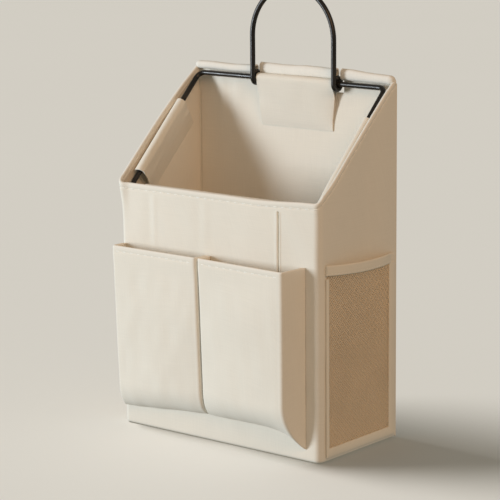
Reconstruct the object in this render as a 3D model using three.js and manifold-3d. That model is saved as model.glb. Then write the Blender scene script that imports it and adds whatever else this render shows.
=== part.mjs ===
// Bedside caddy: a sewn canvas box with a slanted mouth, held open by a wire hoop and hung by a wire bail.
// Millimetres. +X is the right seen from the front, -Y the front, +Z up.
// The origin lies under the middle of the base.

import * as THREE from 'three';
import { mergeVertices } from 'three/addons/utils/BufferGeometryUtils.js';
import Module from 'manifold-3d';

const wasm = await Module();
wasm.setup();

// Canvas box
const bodyWidth = 240;
const bodyDepth = 118;
const frontHeight = 236;
const backHeight = 341;
const panelThickness = 2;
const cornerRadius = 5;
const baseThickness = 2;
const boardThickness = 2;
const boardMargin = 1.5;

// Gap between pieces that are sewn or laid together, overrun of a cut, and the smallest radius
const seamGap = 0.3;
const overrun = 8;
const leastRadius = 0.4;

// Tuck sewn into the front panel
const tuckX = 73;
const tuckLength = 110;
const tuckWidth = 1.4;
const tuckDepth = 1.3;
const tuckClosingShare = 0.3;

// Folded rim and rolled back rim
const hemPly = 1.2;
const hemHeight = 9;
const hemCapHeight = 2.4;
const rollDepth = 5.9;
const rollPly = 1.2;
const rollRise = 4;
const topCornerRadius = 4;

// Wire hoop in the mouth
const wireDiameter = 5;
const wireClearance = 0.3;
const hoopCornerRadius = 7;
const rearBarDrop = 10.3;
const frontBarDrop = 4.5;

// Bail that swings on the rear bar
const bailCentreX = 8;
const bailSpan = 97;
const bailRise = 89;
const eyeTurnShare = 0.78;
const eyeSideGap = 0.8;

// Loops of cloth round the wire
const sleevePly = 1.2;
const sleeveDrop = 20;
const tabDrop = 46;
const sleeveSeam = 6;
const sleeveStartShare = 0.02;
const sleeveEndShare = 0.76;
const frontSleeveShare = 0.88;

// Front pockets: heights above the base, depths out from the front panel
const pocketMouth = 178;
const pocketSeamX = -9.7;
const pocketSpacing = 2;
const leftPocketInset = 5;
const rightPocketInset = 16;
const gussetDepth = 18;
const gussetFootDepth = 13;
const endGussetDepth = 23;
const endGussetLean = 9;
const leftFoot = 18;
const seamFoot = 26;
const endFoot = 11.5;
const footScoop = 26;
const endFootScoop = 48;
const pocketPly = 1.5;
const pocketEdgeRadius = 3.5;
const pocketEdgeShare = 0.45;
const scoopTurnShare = 0.93;
const pocketHemPly = 1;
const pocketHemHeight = 8;
const pocketHemCap = 2;

// Net pockets on the sides
const netFrontInset = 11;
const netRearInset = 12;
const netFoot = 10;
const netMouth = 178;
const netThickness = 0.8;
const netBow = 7;
const netSag = 1.5;
const netCell = 13.5;
const netStrand = 2;
const netSelvage = 4;
const netLap = 2.5;
const mouthBindingHeight = 9.5;
const mouthBindingThickness = 2.2;
const mouthBindingFoldShare = 0.25;
const edgeBindingPly = 1;
const frontBindingWidth = 3.5;
const rearBindingWidth = 10;
const footBindingHeight = 8;

// Counts of facets
const wireSides = 12;
const cornerSteps = 5;
const eyeSteps = 16;
const archSteps = 20;
const foldSteps = 7;
const sleeveSteps = 9;
const pocketFallSteps = 3;
const pocketScoopSteps = 7;
const bindingSteps = 14;

// Places worked out from the sizes above
const halfWidth = bodyWidth / 2;
const halfDepth = bodyDepth / 2;
const wallFoot = baseThickness + seamGap;
const hemStack = panelThickness + seamGap + hemPly;
const cornerReach = Math.max(cornerRadius, hemStack + leastRadius);
const wireRadius = wireDiameter / 2;
const sleeveBore = wireRadius + wireClearance;
const sleeveRadius = sleeveBore + sleevePly;
const eyeRadius = wireRadius + wireClearance + wireRadius;
const eyeReach = eyeRadius + wireRadius;
const sideBarX = halfWidth - hemStack - seamGap - sleeveRadius;
const frontBarY = -halfDepth + hemStack + seamGap + sleeveRadius;
const rearBarInset = Math.max(panelThickness + seamGap + sleeveRadius, eyeReach);
const rearBar = new THREE.Vector3(0, halfDepth - rearBarInset, backHeight - rearBarDrop);
const backEdge = rearBar.z + sleeveRadius;
const slotFoot = rearBar.z - eyeReach - eyeSideGap;
const frontBar = new THREE.Vector3(0, frontBarY, frontHeight - frontBarDrop);
const slant = new THREE.Vector3().subVectors(rearBar, frontBar).normalize();
const across = new THREE.Vector3(1, 0, 0);
const quarterTurn = Math.PI / 2;
const squareToSlant = new THREE.Vector3().crossVectors(across, slant);
const hoopHalfLength = rearBar.distanceTo(frontBar) / 2;
const legOffset = bailSpan / 2;
const eyeGap = wireRadius + eyeSideGap;
const legX = [bailCentreX - legOffset, bailCentreX + legOffset];

// Finishes
const canvas = { color: 0xe0dacb, roughness: 0.9, metalness: 0 };
const hemCanvas = { color: 0xe6e0d2, roughness: 0.9, metalness: 0 };
const netCord = { color: 0x9c8460, roughness: 0.85, metalness: 0 };
const board = { color: 0xb5a88f, roughness: 0.8, metalness: 0 };
const coatedWire = { color: 0x1c1a17, roughness: 0.4, metalness: 0.3 };

const mix = THREE.MathUtils.lerp;

// Height of the slanted mouth above the base at a depth y.
function mouthHeight(y) {
  return mix(frontHeight, backHeight, (y + halfDepth) / bodyDepth);
}

// Six times the volume that the faces enclose, negative when they point inwards.
function signedVolume(geometry) {
  const corner = [0, 1, 2].map(() => new THREE.Vector3());
  const { position } = geometry.attributes;
  const order = geometry.index;
  let total = 0;
  for (let face = 0; face < order.count; face += 3) {
    corner.forEach((point, k) => point.fromBufferAttribute(position, order.getX(face + k)));
    total += corner[0].dot(corner[1].cross(corner[2]));
  }
  return total;
}

// Turns every face over when the skin points inwards.
function faceOutwards(geometry) {
  if (signedVolume(geometry) < 0) {
    geometry.setIndex(Array.from(geometry.index.array).reverse());
  }
  geometry.computeVertexNormals();
  return geometry;
}

// Joins rings of equally many points into one closed skin: a loop, or a run with flat ends.
function loft(rings, isLoop = false) {
  const size = rings[0].length;
  const bands = isLoop ? rings.length : rings.length - 1;
  const faces = [];
  for (let band = 0; band < bands; band += 1) {
    const here = band * size;
    const next = ((band + 1) % rings.length) * size;
    for (let k = 0; k < size; k += 1) {
      const after = (k + 1) % size;
      faces.push(here + k, here + after, next + after, here + k, next + after, next + k);
    }
  }
  if (!isLoop) {
    const last = (rings.length - 1) * size;
    for (let k = 1; k < size - 1; k += 1) {
      faces.push(0, k + 1, k, last, last + k, last + k + 1);
    }
  }
  const geometry = new THREE.BufferGeometry().setFromPoints(rings.flat());
  geometry.setIndex(faces);
  return faceOutwards(geometry);
}

// Carries a round section along a list of points without twisting it.
function wireAlong(points, isLoop = false) {
  const count = points.length;
  const tangents = points.map((point, k) => {
    const before = isLoop ? points[(k + count - 1) % count] : points[Math.max(k - 1, 0)];
    const after = isLoop ? points[(k + 1) % count] : points[Math.min(k + 1, count - 1)];
    return new THREE.Vector3().subVectors(after, before).normalize();
  });
  const normal = new THREE.Vector3().crossVectors(tangents[0], across);
  const rings = points.map((point, k) => {
    normal.projectOnPlane(tangents[k]).normalize();
    const side = new THREE.Vector3().crossVectors(tangents[k], normal);
    return Array.from({ length: wireSides }, (_, n) => {
      const turn = (n / wireSides) * 2 * Math.PI;
      return point.clone()
        .addScaledVector(normal, wireRadius * Math.cos(turn))
        .addScaledVector(side, wireRadius * Math.sin(turn));
    });
  });
  return loft(rings, isLoop);
}

// Points on an arc about a centre, from one angle to another in the plane of two unit directions.
function arcPoints(centre, first, second, radius, from, to, steps) {
  return Array.from({ length: steps + 1 }, (_, k) => {
    const turn = mix(from, to, k / steps);
    return centre.clone()
      .addScaledVector(first, radius * Math.cos(turn))
      .addScaledVector(second, radius * Math.sin(turn));
  });
}

// Extrudes an outline drawn in X and Y from one height to another.
function prism(outline, bottom, top) {
  const geometry = new THREE.ExtrudeGeometry(outline, {
    depth: top - bottom,
    bevelEnabled: false,
    curveSegments: cornerSteps,
  });
  geometry.translate(0, 0, bottom);
  return geometry;
}

// The same outline, run against the clock.
function counterClockwise(points) {
  return THREE.ShapeUtils.area(points) < 0 ? [...points].reverse() : points;
}

function toSolid(geometry) {
  const bare = geometry.clone();
  bare.deleteAttribute('normal');
  bare.deleteAttribute('uv');
  const welded = mergeVertices(bare);
  return new wasm.Manifold(new wasm.Mesh({
    numProp: 3,
    vertProperties: welded.attributes.position.array,
    triVerts: Uint32Array.from(welded.index.array),
  }));
}

function toGeometry(solid) {
  const { vertProperties, triVerts } = solid.getMesh();
  const geometry = new THREE.BufferGeometry();
  geometry.setAttribute('position', new THREE.BufferAttribute(vertProperties, 3));
  geometry.setIndex(new THREE.BufferAttribute(triVerts, 1));
  geometry.computeVertexNormals();
  return geometry;
}

function piece(name, geometry, finish) {
  const mesh = new THREE.Mesh(geometry, new THREE.MeshStandardMaterial(finish));
  mesh.name = name;
  return mesh;
}

// Everything below the mouth's plane once that is lowered by a drop.
function belowMouth(drop) {
  const near = -halfDepth - overrun;
  const far = halfDepth + overrun;
  const side = new THREE.Shape([
    new THREE.Vector2(near, -overrun),
    new THREE.Vector2(far, -overrun),
    new THREE.Vector2(far, mouthHeight(far) - drop),
    new THREE.Vector2(near, mouthHeight(near) - drop),
  ]);
  const geometry = prism(side, -halfWidth - overrun, halfWidth + overrun);
  geometry.applyMatrix4(new THREE.Matrix4().makeBasis(
    new THREE.Vector3(0, 1, 0),
    new THREE.Vector3(0, 0, 1),
    across,
  ));
  return toSolid(geometry);
}

// The line of the front wall and its two rounded corners in plan, at a depth into the cloth.
function frontLine(depth, reachOn = 0) {
  const radius = Math.max(cornerReach - depth, leastRadius);
  const centre = new THREE.Vector3(halfWidth - depth - radius, -halfDepth + depth + radius, 0);
  const forward = new THREE.Vector3(0, -1, 0);
  const right = arcPoints(centre, across, forward, radius, 0, quarterTurn, cornerSteps);
  right.unshift(new THREE.Vector3(halfWidth - depth, -halfDepth + cornerReach + reachOn, 0));
  const left = right.map((point) => new THREE.Vector3(-point.x, point.y, 0)).reverse();
  const points = [...right, ...left];
  return points.filter((point, k) => k === 0 || point.distanceTo(points[k - 1]) > 0);
}

// Plan of the front wall between two depths into the cloth.
function frontPlan(near, far, reachOn = 0) {
  return new THREE.Shape([...frontLine(near, reachOn), ...frontLine(far, reachOn).reverse()]);
}

// Plan of a straight stretch of side wall; side is 1 on the right and -1 on the left.
function sidePlan(side, near, far, startOn = 0, endOn = 0) {
  const start = -halfDepth + cornerReach + seamGap - startOn;
  const end = halfDepth - panelThickness - seamGap + endOn;
  const outer = side * (halfWidth - near);
  const inner = side * (halfWidth - far);
  return new THREE.Shape([
    new THREE.Vector2(outer, start),
    new THREE.Vector2(outer, end),
    new THREE.Vector2(inner, end),
    new THREE.Vector2(inner, start),
  ]);
}

// A wall whose top edge follows the mouth, short of the fold that caps it.
function wall(plan) {
  const blank = toSolid(prism(plan, wallFoot, backHeight));
  return blank.intersect(belowMouth(hemCapHeight + seamGap));
}

// A folded rim: a cap over the wall's edge and a ply that hangs inside it.
function foldedRim(wholePlan, wallPlan) {
  const upright = (plan) => toSolid(prism(plan, wallFoot, backHeight + overrun));
  const band = belowMouth(0).subtract(belowMouth(hemHeight));
  const wallRoom = upright(wallPlan).intersect(belowMouth(hemCapHeight));
  return toGeometry(upright(wholePlan).intersect(band).subtract(wallRoom));
}

// The tuck: a narrow wedge that closes towards its foot.
function tuckCut() {
  const outer = -halfDepth;
  const top = mouthHeight(outer) - hemHeight;
  const ring = (z, share) => [
    new THREE.Vector3(tuckX - (share * tuckWidth) / 2, outer - overrun, z),
    new THREE.Vector3(tuckX + (share * tuckWidth) / 2, outer - overrun, z),
    new THREE.Vector3(tuckX + (share * tuckWidth) / 2, outer, z),
    new THREE.Vector3(tuckX, outer + share * tuckDepth, z),
    new THREE.Vector3(tuckX - (share * tuckWidth) / 2, outer, z),
  ];
  return toSolid(loft([ring(top - tuckLength, tuckClosingShare), ring(top, 1)]));
}

function frontPanel() {
  const blank = wall(frontPlan(0, panelThickness));
  return piece('front_panel', toGeometry(blank.subtract(tuckCut())), canvas);
}

function sidePanel(name, side) {
  return piece(name, toGeometry(wall(sidePlan(side, 0, panelThickness))), canvas);
}

// The back is cut down between its corners, where the rolled rim sits on it, and slotted for the bail's eyes.
function backPanel() {
  const innerX = halfWidth - hemStack;
  const outline = new THREE.Shape();
  outline.moveTo(-halfWidth, wallFoot);
  outline.lineTo(halfWidth, wallFoot);
  outline.lineTo(halfWidth, backHeight - topCornerRadius);
  outline.quadraticCurveTo(halfWidth, backHeight, innerX, backHeight);
  outline.lineTo(innerX, backEdge);
  [...legX].reverse().forEach((x) => {
    outline.lineTo(x + eyeGap, backEdge);
    outline.lineTo(x + eyeGap, slotFoot);
    outline.lineTo(x - eyeGap, slotFoot);
    outline.lineTo(x - eyeGap, backEdge);
  });
  outline.lineTo(-innerX, backEdge);
  outline.lineTo(-innerX, backHeight);
  outline.quadraticCurveTo(-halfWidth, backHeight, -halfWidth, backHeight - topCornerRadius);
  const geometry = prism(outline, -halfDepth, -halfDepth + panelThickness);
  geometry.rotateX(Math.PI / 2);
  return piece('back_panel', toGeometry(toSolid(geometry).intersect(belowMouth(0))), canvas);
}

function bottomPanel() {
  const outline = new THREE.Shape([
    ...frontLine(0),
    new THREE.Vector2(-halfWidth, halfDepth),
    new THREE.Vector2(halfWidth, halfDepth),
  ]);
  return piece('bottom_panel', prism(outline, 0, baseThickness), canvas);
}

function baseBoard() {
  const inset = panelThickness + seamGap + boardMargin;
  const x = halfWidth - inset;
  const y = halfDepth - inset;
  const outline = new THREE.Shape();
  outline.moveTo(-x + cornerRadius, -y);
  outline.lineTo(x - cornerRadius, -y);
  outline.quadraticCurveTo(x, -y, x, -y + cornerRadius);
  outline.lineTo(x, y - cornerRadius);
  outline.quadraticCurveTo(x, y, x - cornerRadius, y);
  outline.lineTo(-x + cornerRadius, y);
  outline.quadraticCurveTo(-x, y, -x, y - cornerRadius);
  outline.lineTo(-x, -y + cornerRadius);
  outline.quadraticCurveTo(-x, -y, -x + cornerRadius, -y);
  return piece('base_board', prism(outline, wallFoot, wallFoot + boardThickness), board);
}

function frontHem() {
  const whole = frontPlan(0, hemStack);
  const room = frontPlan(-overrun, panelThickness + seamGap, overrun);
  return piece('front_hem', foldedRim(whole, room), hemCanvas);
}

function sideHem(name, side) {
  const whole = sidePlan(side, 0, hemStack);
  const room = sidePlan(side, -overrun, panelThickness + seamGap, overrun, overrun);
  return piece(name, foldedRim(whole, room), hemCanvas);
}

// A rolled stretch of back rim up to a height: an upright loop of cloth, open at both ends.
function backRoll(name, from, to, top) {
  const stadium = (inset) => {
    const radius = rollDepth / 2 - inset;
    const centreY = halfDepth - rollDepth / 2;
    const low = backEdge + seamGap + rollDepth / 2;
    const high = Math.max(top - rollDepth / 2, low + leastRadius);
    const path = new THREE.Path();
    path.absarc(centreY, high, radius, 0, Math.PI, false);
    path.absarc(centreY, low, radius, Math.PI, 2 * Math.PI, false);
    path.closePath();
    return path;
  };
  const outline = new THREE.Shape(stadium(0).getPoints(foldSteps).slice(0, -1));
  outline.holes.push(new THREE.Path(stadium(rollPly).getPoints(foldSteps).slice(0, -1)));
  return alongX(name, outline, from, to, hemCanvas);
}

// Extrudes an outline drawn in depth and height across the caddy, from one X to another.
function alongX(name, outline, from, to, finish) {
  const mesh = piece(name, prism(outline, 0, to - from), finish);
  mesh.quaternion.setFromRotationMatrix(new THREE.Matrix4().makeBasis(
    new THREE.Vector3(0, 1, 0),
    new THREE.Vector3(0, 0, 1),
    across,
  ));
  mesh.position.x = from;
  return mesh;
}

// A loop of cloth seen end-on: over the wire, down past the hem, and closed on the panel by a seam.
// The panel's face is the line u = 0, the wire's centre lies at (wireU, 0), and v runs along the panel.
function sleeveOutline(wireU, drop, toLocal) {
  const side = (radius, near, far, seamEnd) => {
    const centre = new THREE.Vector3(wireU, 0, 0);
    const reach = new THREE.Vector2(far - wireU, -seamEnd);
    const lean = Math.atan2(reach.y, reach.x) + Math.acos(radius / reach.length());
    const upwards = new THREE.Vector3(0, 1, 0);
    const over = arcPoints(centre, across, upwards, radius, Math.PI, lean, sleeveSteps);
    const behind = [
      new THREE.Vector3(near, -seamEnd, 0),
      new THREE.Vector3(wireU - radius, -Math.min(hemHeight, seamEnd / 2), 0),
    ];
    return [...behind, ...over, new THREE.Vector3(far, -seamEnd, 0)];
  };
  const seamTop = drop - sleeveSeam;
  const near = seamGap;
  const far = seamGap + 2 * sleevePly;
  const outer = [
    new THREE.Vector3(far, -drop, 0),
    new THREE.Vector3(near, -drop, 0),
    ...side(sleeveRadius, near, far, seamTop),
  ];
  const middle = (near + far) / 2;
  const innerEnd = seamTop - sleeveSeam / 2;
  const inner = side(sleeveBore, middle - leastRadius, middle + leastRadius, innerEnd);
  const outline = new THREE.Shape(counterClockwise(outer.map(toLocal)));
  outline.holes.push(new THREE.Path(counterClockwise(inner.map(toLocal))));
  return outline;
}

function sideSleeve(name, side) {
  const wireU = halfWidth - panelThickness - sideBarX;
  const panelX = side * (halfWidth - panelThickness);
  const outline = sleeveOutline(wireU, sleeveDrop, (p) => new THREE.Vector2(-side * p.x, p.y));
  const straight = 2 * (hoopHalfLength - hoopCornerRadius);
  const from = hoopCornerRadius + sleeveStartShare * straight;
  const to = hoopCornerRadius + sleeveEndShare * straight;
  const mesh = piece(name, prism(outline, 0, to - from), canvas);
  const downSlant = slant.clone().negate();
  mesh.quaternion.setFromRotationMatrix(new THREE.Matrix4().makeBasis(across, squareToSlant, downSlant));
  mesh.position.copy(frontBar).addScaledVector(slant, to).setX(panelX);
  return mesh;
}

function frontSleeve() {
  const panelY = -halfDepth + panelThickness;
  const outline = sleeveOutline(frontBarY - panelY, sleeveDrop, (p) => new THREE.Vector2(p.x, p.y));
  const reach = frontSleeveShare * (sideBarX - hoopCornerRadius);
  const mesh = alongX('front_wire_sleeve', outline, -reach, reach, canvas);
  mesh.position.y = panelY;
  mesh.position.z = frontBar.z;
  return mesh;
}

function hangingTab() {
  const panelY = halfDepth - panelThickness;
  const outline = sleeveOutline(panelY - rearBar.y, tabDrop, (p) => new THREE.Vector2(-p.x, p.y));
  const reach = legOffset - eyeGap;
  const mesh = alongX('hanging_tab', outline, bailCentreX - reach, bailCentreX + reach, canvas);
  mesh.position.y = panelY;
  mesh.position.z = rearBar.z;
  return mesh;
}

// The hoop's centre line: four straight bars and four round corners in the slanted plane.
function frameHoop() {
  const centre = new THREE.Vector3().addVectors(rearBar, frontBar).multiplyScalar(1 / 2);
  const points = [[1, 1], [-1, 1], [-1, -1], [1, -1]].flatMap(([sideways, along], k) => {
    const corner = centre.clone()
      .addScaledVector(across, sideways * (sideBarX - hoopCornerRadius))
      .addScaledVector(slant, along * (hoopHalfLength - hoopCornerRadius));
    const turn = k * quarterTurn;
    return arcPoints(corner, across, slant, hoopCornerRadius, turn, turn + quarterTurn, cornerSteps);
  });
  return piece('frame_hoop', wireAlong(points, true), coatedWire);
}

// The bail: a curled eye on the rear bar, a leg in front of it, the arch, and the same again.
function hangerBail() {
  const eye = (x) => arcPoints(
    rearBar.clone().setX(x),
    new THREE.Vector3(0, 1, 0),
    new THREE.Vector3(0, 0, 1),
    eyeRadius,
    Math.PI,
    Math.PI + eyeTurnShare * 2 * Math.PI,
    eyeSteps,
  );
  const archCentre = rearBar.clone()
    .add(new THREE.Vector3(bailCentreX, -eyeRadius, bailRise - legOffset));
  const upwards = new THREE.Vector3(0, 0, 1);
  const arch = arcPoints(archCentre, across, upwards, legOffset, Math.PI, 0, archSteps);
  const points = [
    ...eye(legX[0]).reverse(),
    ...arch,
    ...eye(legX[1]),
  ];
  return piece('hanger_bail', wireAlong(points), coatedWire);
}

// One gusset of a front pocket: where it stands on the panel, and how deep, low and round it is.
const gussets = {
  leftEnd: {
    x: -halfWidth + leftPocketInset,
    depth: gussetDepth,
    footDepth: gussetFootDepth,
    foot: leftFoot,
    scoop: footScoop,
    lean: 0,
  },
  seamLeft: {
    x: pocketSeamX - pocketSpacing / 2,
    depth: gussetDepth,
    footDepth: gussetFootDepth,
    foot: seamFoot,
    scoop: footScoop,
    lean: 0,
  },
  seamRight: {
    x: pocketSeamX + pocketSpacing / 2,
    depth: gussetDepth,
    footDepth: gussetFootDepth,
    foot: seamFoot,
    scoop: footScoop,
    lean: 0,
  },
  rightEnd: {
    x: halfWidth - rightPocketInset,
    depth: endGussetDepth,
    footDepth: endGussetDepth,
    foot: endFoot,
    scoop: endFootScoop,
    lean: endGussetLean,
  },
};

// Depth and height of a gusset's front corner: straight down to the scoop, then round to the panel.
function gussetCorner(gusset, fallShare, turn, inset) {
  const depth = mix(gusset.depth, gusset.footDepth, fallShare);
  const scoopTop = gusset.foot + gusset.scoop;
  return {
    depth: (depth - inset) * Math.cos(turn),
    z: mix(pocketMouth, scoopTop, fallShare) - (gusset.scoop - inset) * Math.sin(turn),
  };
}

// One level ring of a pocket: back left, round the two front corners, back right.
function pocketRing(left, right, fallShare, turn, inset, back) {
  const cornerL = gussetCorner(left, fallShare, turn, inset);
  const cornerR = gussetCorner(right, fallShare, turn, inset);
  const corner = (gusset, inward, depth) => new THREE.Vector3(
    gusset.x + inward * (inset + (gusset.lean * depth) / gusset.depth),
    -seamGap - depth,
    0,
  );
  const corners = [
    corner(left, 1, -back),
    corner(left, 1, cornerL.depth),
    corner(right, -1, cornerR.depth),
    corner(right, -1, -back),
  ];
  const rounded = [1, 2].flatMap((k) => {
    const room = [k - 1, k + 1].map((n) => pocketEdgeShare * corners[n].distanceTo(corners[k]));
    const radius = Math.min(pocketEdgeRadius, ...room);
    const towards = (n) => corners[n].clone().sub(corners[k]).setLength(radius).add(corners[k]);
    const bend = new THREE.QuadraticBezierCurve3(towards(k - 1), corners[k], towards(k + 1));
    return bend.getPoints(cornerSteps - 1);
  });
  return [corners[0], ...rounded, corners[3]].map((point) => {
    const share = (point.x - left.x) / (right.x - left.x);
    return point.setZ(mix(cornerL.z, cornerR.z, share));
  });
}

// The space inside a pocket's skin at a depth into it, closed at the foot by the scoop.
function pocketBody(left, right, inset, back, rise) {
  const lastTurn = scoopTurnShare * quarterTurn;
  const rings = [];
  for (let k = 0; k <= pocketFallSteps; k += 1) {
    rings.push(pocketRing(left, right, k / pocketFallSteps, 0, inset, back));
  }
  for (let k = 1; k <= pocketScoopSteps; k += 1) {
    rings.push(pocketRing(left, right, 1, (k / pocketScoopSteps) * lastTurn, inset, back));
  }
  if (rise > 0) {
    rings.unshift(rings[0].map((point) => point.clone().setZ(pocketMouth + rise)));
  }
  return toSolid(loft(rings));
}

// A level slab across the whole front, to part a pocket's mouth from its body.
function slab(bottom, top) {
  const depth = 2 * (gussetDepth + endGussetDepth);
  const box = new THREE.BoxGeometry(bodyWidth, depth, top - bottom);
  box.translate(0, 0, (bottom + top) / 2);
  return toSolid(box);
}

// A front pocket and its folded mouth, placed against the front panel's face.
function frontPocket(name, left, right) {
  const skin = (near, far) => {
    const shell = pocketBody(left, right, near, 0, 0);
    return shell.subtract(pocketBody(left, right, far, overrun, overrun));
  };
  const above = (bottom) => slab(bottom, pocketMouth + overrun);
  const stack = pocketPly + seamGap + pocketHemPly;
  const body = skin(0, pocketPly).intersect(slab(0, pocketMouth - pocketHemCap - seamGap));
  const cap = skin(0, stack).intersect(above(pocketMouth - pocketHemCap));
  const ply = skin(pocketPly + seamGap, stack).intersect(above(pocketMouth - pocketHemHeight));
  const group = new THREE.Group();
  group.position.y = -halfDepth;
  group.add(piece(name, toGeometry(body), canvas));
  group.add(piece(`${name}_hem`, toGeometry(cap.add(ply)), hemCanvas));
  return group;
}

// Places on a net pocket: along the side it runs from the front to the rear edge.
const netFront = -halfDepth + netFrontInset;
const netRear = halfDepth - netRearInset;
const netMiddle = (netFront + netRear) / 2;
const netHalf = (netRear - netFront) / 2;

// A place along the net as a share of its half width, 0 in the middle and 1 or -1 at its edges.
function offsetShare(along) {
  return THREE.MathUtils.clamp((along - netMiddle) / netHalf, -1, 1);
}

// How far the net stands out from flat, most in the middle of its mouth.
function bow(along, z) {
  const up = Math.max(0, (z - netFoot) / (netMouth - netFoot));
  return netBow * Math.cos(offsetShare(along) * quarterTurn) ** 2 * up;
}

// How far the bound mouth hangs below its two ends.
function sag(along) {
  return netSag * (1 - offsetShare(along) ** 2);
}

// Diamond holes in staggered rows, as many as the netting's cell lets into the field.
function diamondHoles(lowZ, highZ) {
  const width = netRear - netFront - 2 * netSelvage;
  const height = highZ - lowZ - 2 * netSelvage;
  const columns = Math.max(1, Math.round(width / netCell));
  const rows = Math.max(1, Math.round((2 * height) / netCell) - 1);
  const cellWidth = width / columns;
  const cellHeight = (2 * height) / (rows + 1);
  const halfX = cellWidth / 2 - netStrand * Math.SQRT1_2;
  const halfZ = cellHeight / 2 - netStrand * Math.SQRT1_2;
  const holes = [];
  for (let row = 0; row < rows; row += 1) {
    const isOdd = row % 2;
    for (let column = 0; column < columns - isOdd; column += 1) {
      const x = netFront + netSelvage + (column + (1 + isOdd) / 2) * cellWidth;
      const z = lowZ + netSelvage + ((row + 1) * cellHeight) / 2;
      holes.push(new THREE.Shape([
        new THREE.Vector2(x - halfX, z),
        new THREE.Vector2(x, z - halfZ),
        new THREE.Vector2(x + halfX, z),
        new THREE.Vector2(x, z + halfZ),
      ]));
    }
  }
  return holes;
}

// The netting: a bowed sheet, made a strip at a time along the side, with its holes cut through.
function netSheet() {
  const top = (along) => netMouth - mouthBindingHeight - seamGap - sag(along);
  const rings = Array.from({ length: bindingSteps + 1 }, (_, k) => {
    const along = mix(netFront, netRear, k / bindingSteps);
    const near = seamGap;
    const far = seamGap + netThickness;
    return [[near, netFoot], [far, netFoot], [far, top(along)], [near, top(along)]]
      .map(([out, z]) => new THREE.Vector3(along, z, out + bow(along, z)));
  });
  const holes = diamondHoles(netFoot, top(netMiddle));
  return toGeometry(toSolid(loft(rings)).subtract(toSolid(prism(holes, -overrun, netBow + overrun))));
}

// The bound mouth: a flat strip on edge that follows the bow and the sag.
function mouthBinding() {
  const from = netFront - (frontBindingWidth - netLap);
  const to = netRear + (rearBindingWidth - netLap) / 2;
  const rings = Array.from({ length: bindingSteps + 1 }, (_, k) => {
    const along = mix(from, to, k / bindingSteps);
    const high = netMouth - sag(along);
    const low = high - mouthBindingHeight;
    const shoulder = mix(high, low, mouthBindingFoldShare);
    const inner = seamGap;
    const outer = seamGap + mouthBindingThickness;
    const crown = (inner + outer) / 2;
    return [[inner, low], [outer, low], [outer, shoulder], [crown, high], [inner, shoulder]]
      .map(([out, z]) => new THREE.Vector3(along, z, out + bow(along, z)));
  });
  return loft(rings);
}

// The binding of the other three edges, rebated where it laps over the net.
function edgeBinding() {
  const from = netFront - (frontBindingWidth - netLap);
  const to = netRear + (rearBindingWidth - netLap);
  const bottom = netFoot - (footBindingHeight - netLap);
  const top = netMouth - mouthBindingHeight - seamGap;
  const outline = new THREE.Shape([
    new THREE.Vector2(from, bottom),
    new THREE.Vector2(to, bottom),
    new THREE.Vector2(to, top),
    new THREE.Vector2(netRear - netLap, top),
    new THREE.Vector2(netRear - netLap, netFoot + netLap),
    new THREE.Vector2(netFront + netLap, netFoot + netLap),
    new THREE.Vector2(netFront + netLap, top),
    new THREE.Vector2(from, top),
  ]);
  const netFace = seamGap + netThickness;
  const strip = toSolid(prism(outline, seamGap, netFace + seamGap + edgeBindingPly));
  const room = new THREE.Shape([
    new THREE.Vector2(netFront - seamGap, netFoot - seamGap),
    new THREE.Vector2(netRear + seamGap, netFoot - seamGap),
    new THREE.Vector2(netRear + seamGap, top + overrun),
    new THREE.Vector2(netFront - seamGap, top + overrun),
  ]);
  return toGeometry(strip.subtract(toSolid(prism(room, -overrun, netFace + seamGap))));
}

// A net pocket on one side: the sheets are drawn with X along the side, Y up and Z outwards.
function netPocket(sideName, side) {
  const pieces = [
    piece(`${sideName}_net`, netSheet(), netCord),
    piece(`${sideName}_net_mouth_binding`, mouthBinding(), canvas),
    piece(`${sideName}_net_edge_binding`, edgeBinding(), canvas),
  ];
  const along = new THREE.Vector3(0, 1, 0);
  const up = new THREE.Vector3(0, 0, 1);
  pieces.forEach((mesh) => {
    mesh.geometry.applyMatrix4(new THREE.Matrix4().makeBasis(along, up, across));
    if (side < 0) {
      mesh.geometry = mirrored(mesh.geometry);
    }
    mesh.position.x = side * halfWidth;
  });
  return pieces;
}

// The same piece for the other side of the caddy.
function mirrored(geometry) {
  const bare = geometry.clone().deleteAttribute('normal').deleteAttribute('uv');
  const flipped = mergeVertices(bare);
  flipped.scale(-1, 1, 1);
  return faceOutwards(flipped);
}

const caddy = new THREE.Group();
caddy.name = 'bedside_caddy';

const box = new THREE.Group();
box.add(bottomPanel(), baseBoard(), frontPanel(), backPanel());
box.add(sidePanel('left_side_panel', -1), sidePanel('right_side_panel', 1));
box.add(frontHem(), sideHem('left_hem', -1), sideHem('right_hem', 1));

const rollEnd = halfWidth - hemStack - seamGap;
const rims = new THREE.Group();
const rollTop = backHeight + rollRise;
rims.add(backRoll('back_hem_left', -rollEnd, legX[0] - eyeGap, backHeight));
rims.add(backRoll('back_hem_centre', legX[0] + eyeGap, legX[1] - eyeGap, rollTop));
rims.add(backRoll('back_hem_right', legX[1] + eyeGap, rollEnd, rollTop));

const wirework = new THREE.Group();
wirework.add(frameHoop(), hangerBail());

const sleeves = new THREE.Group();
sleeves.add(hangingTab(), frontSleeve());
sleeves.add(sideSleeve('left_wire_sleeve', -1), sideSleeve('right_wire_sleeve', 1));

const pockets = new THREE.Group();
pockets.add(frontPocket('left_front_pocket', gussets.leftEnd, gussets.seamLeft));
pockets.add(frontPocket('right_front_pocket', gussets.seamRight, gussets.rightEnd));
pockets.add(...netPocket('left', -1), ...netPocket('right', 1));

caddy.add(box, rims, wirework, sleeves, pockets);

export default caddy;
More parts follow.
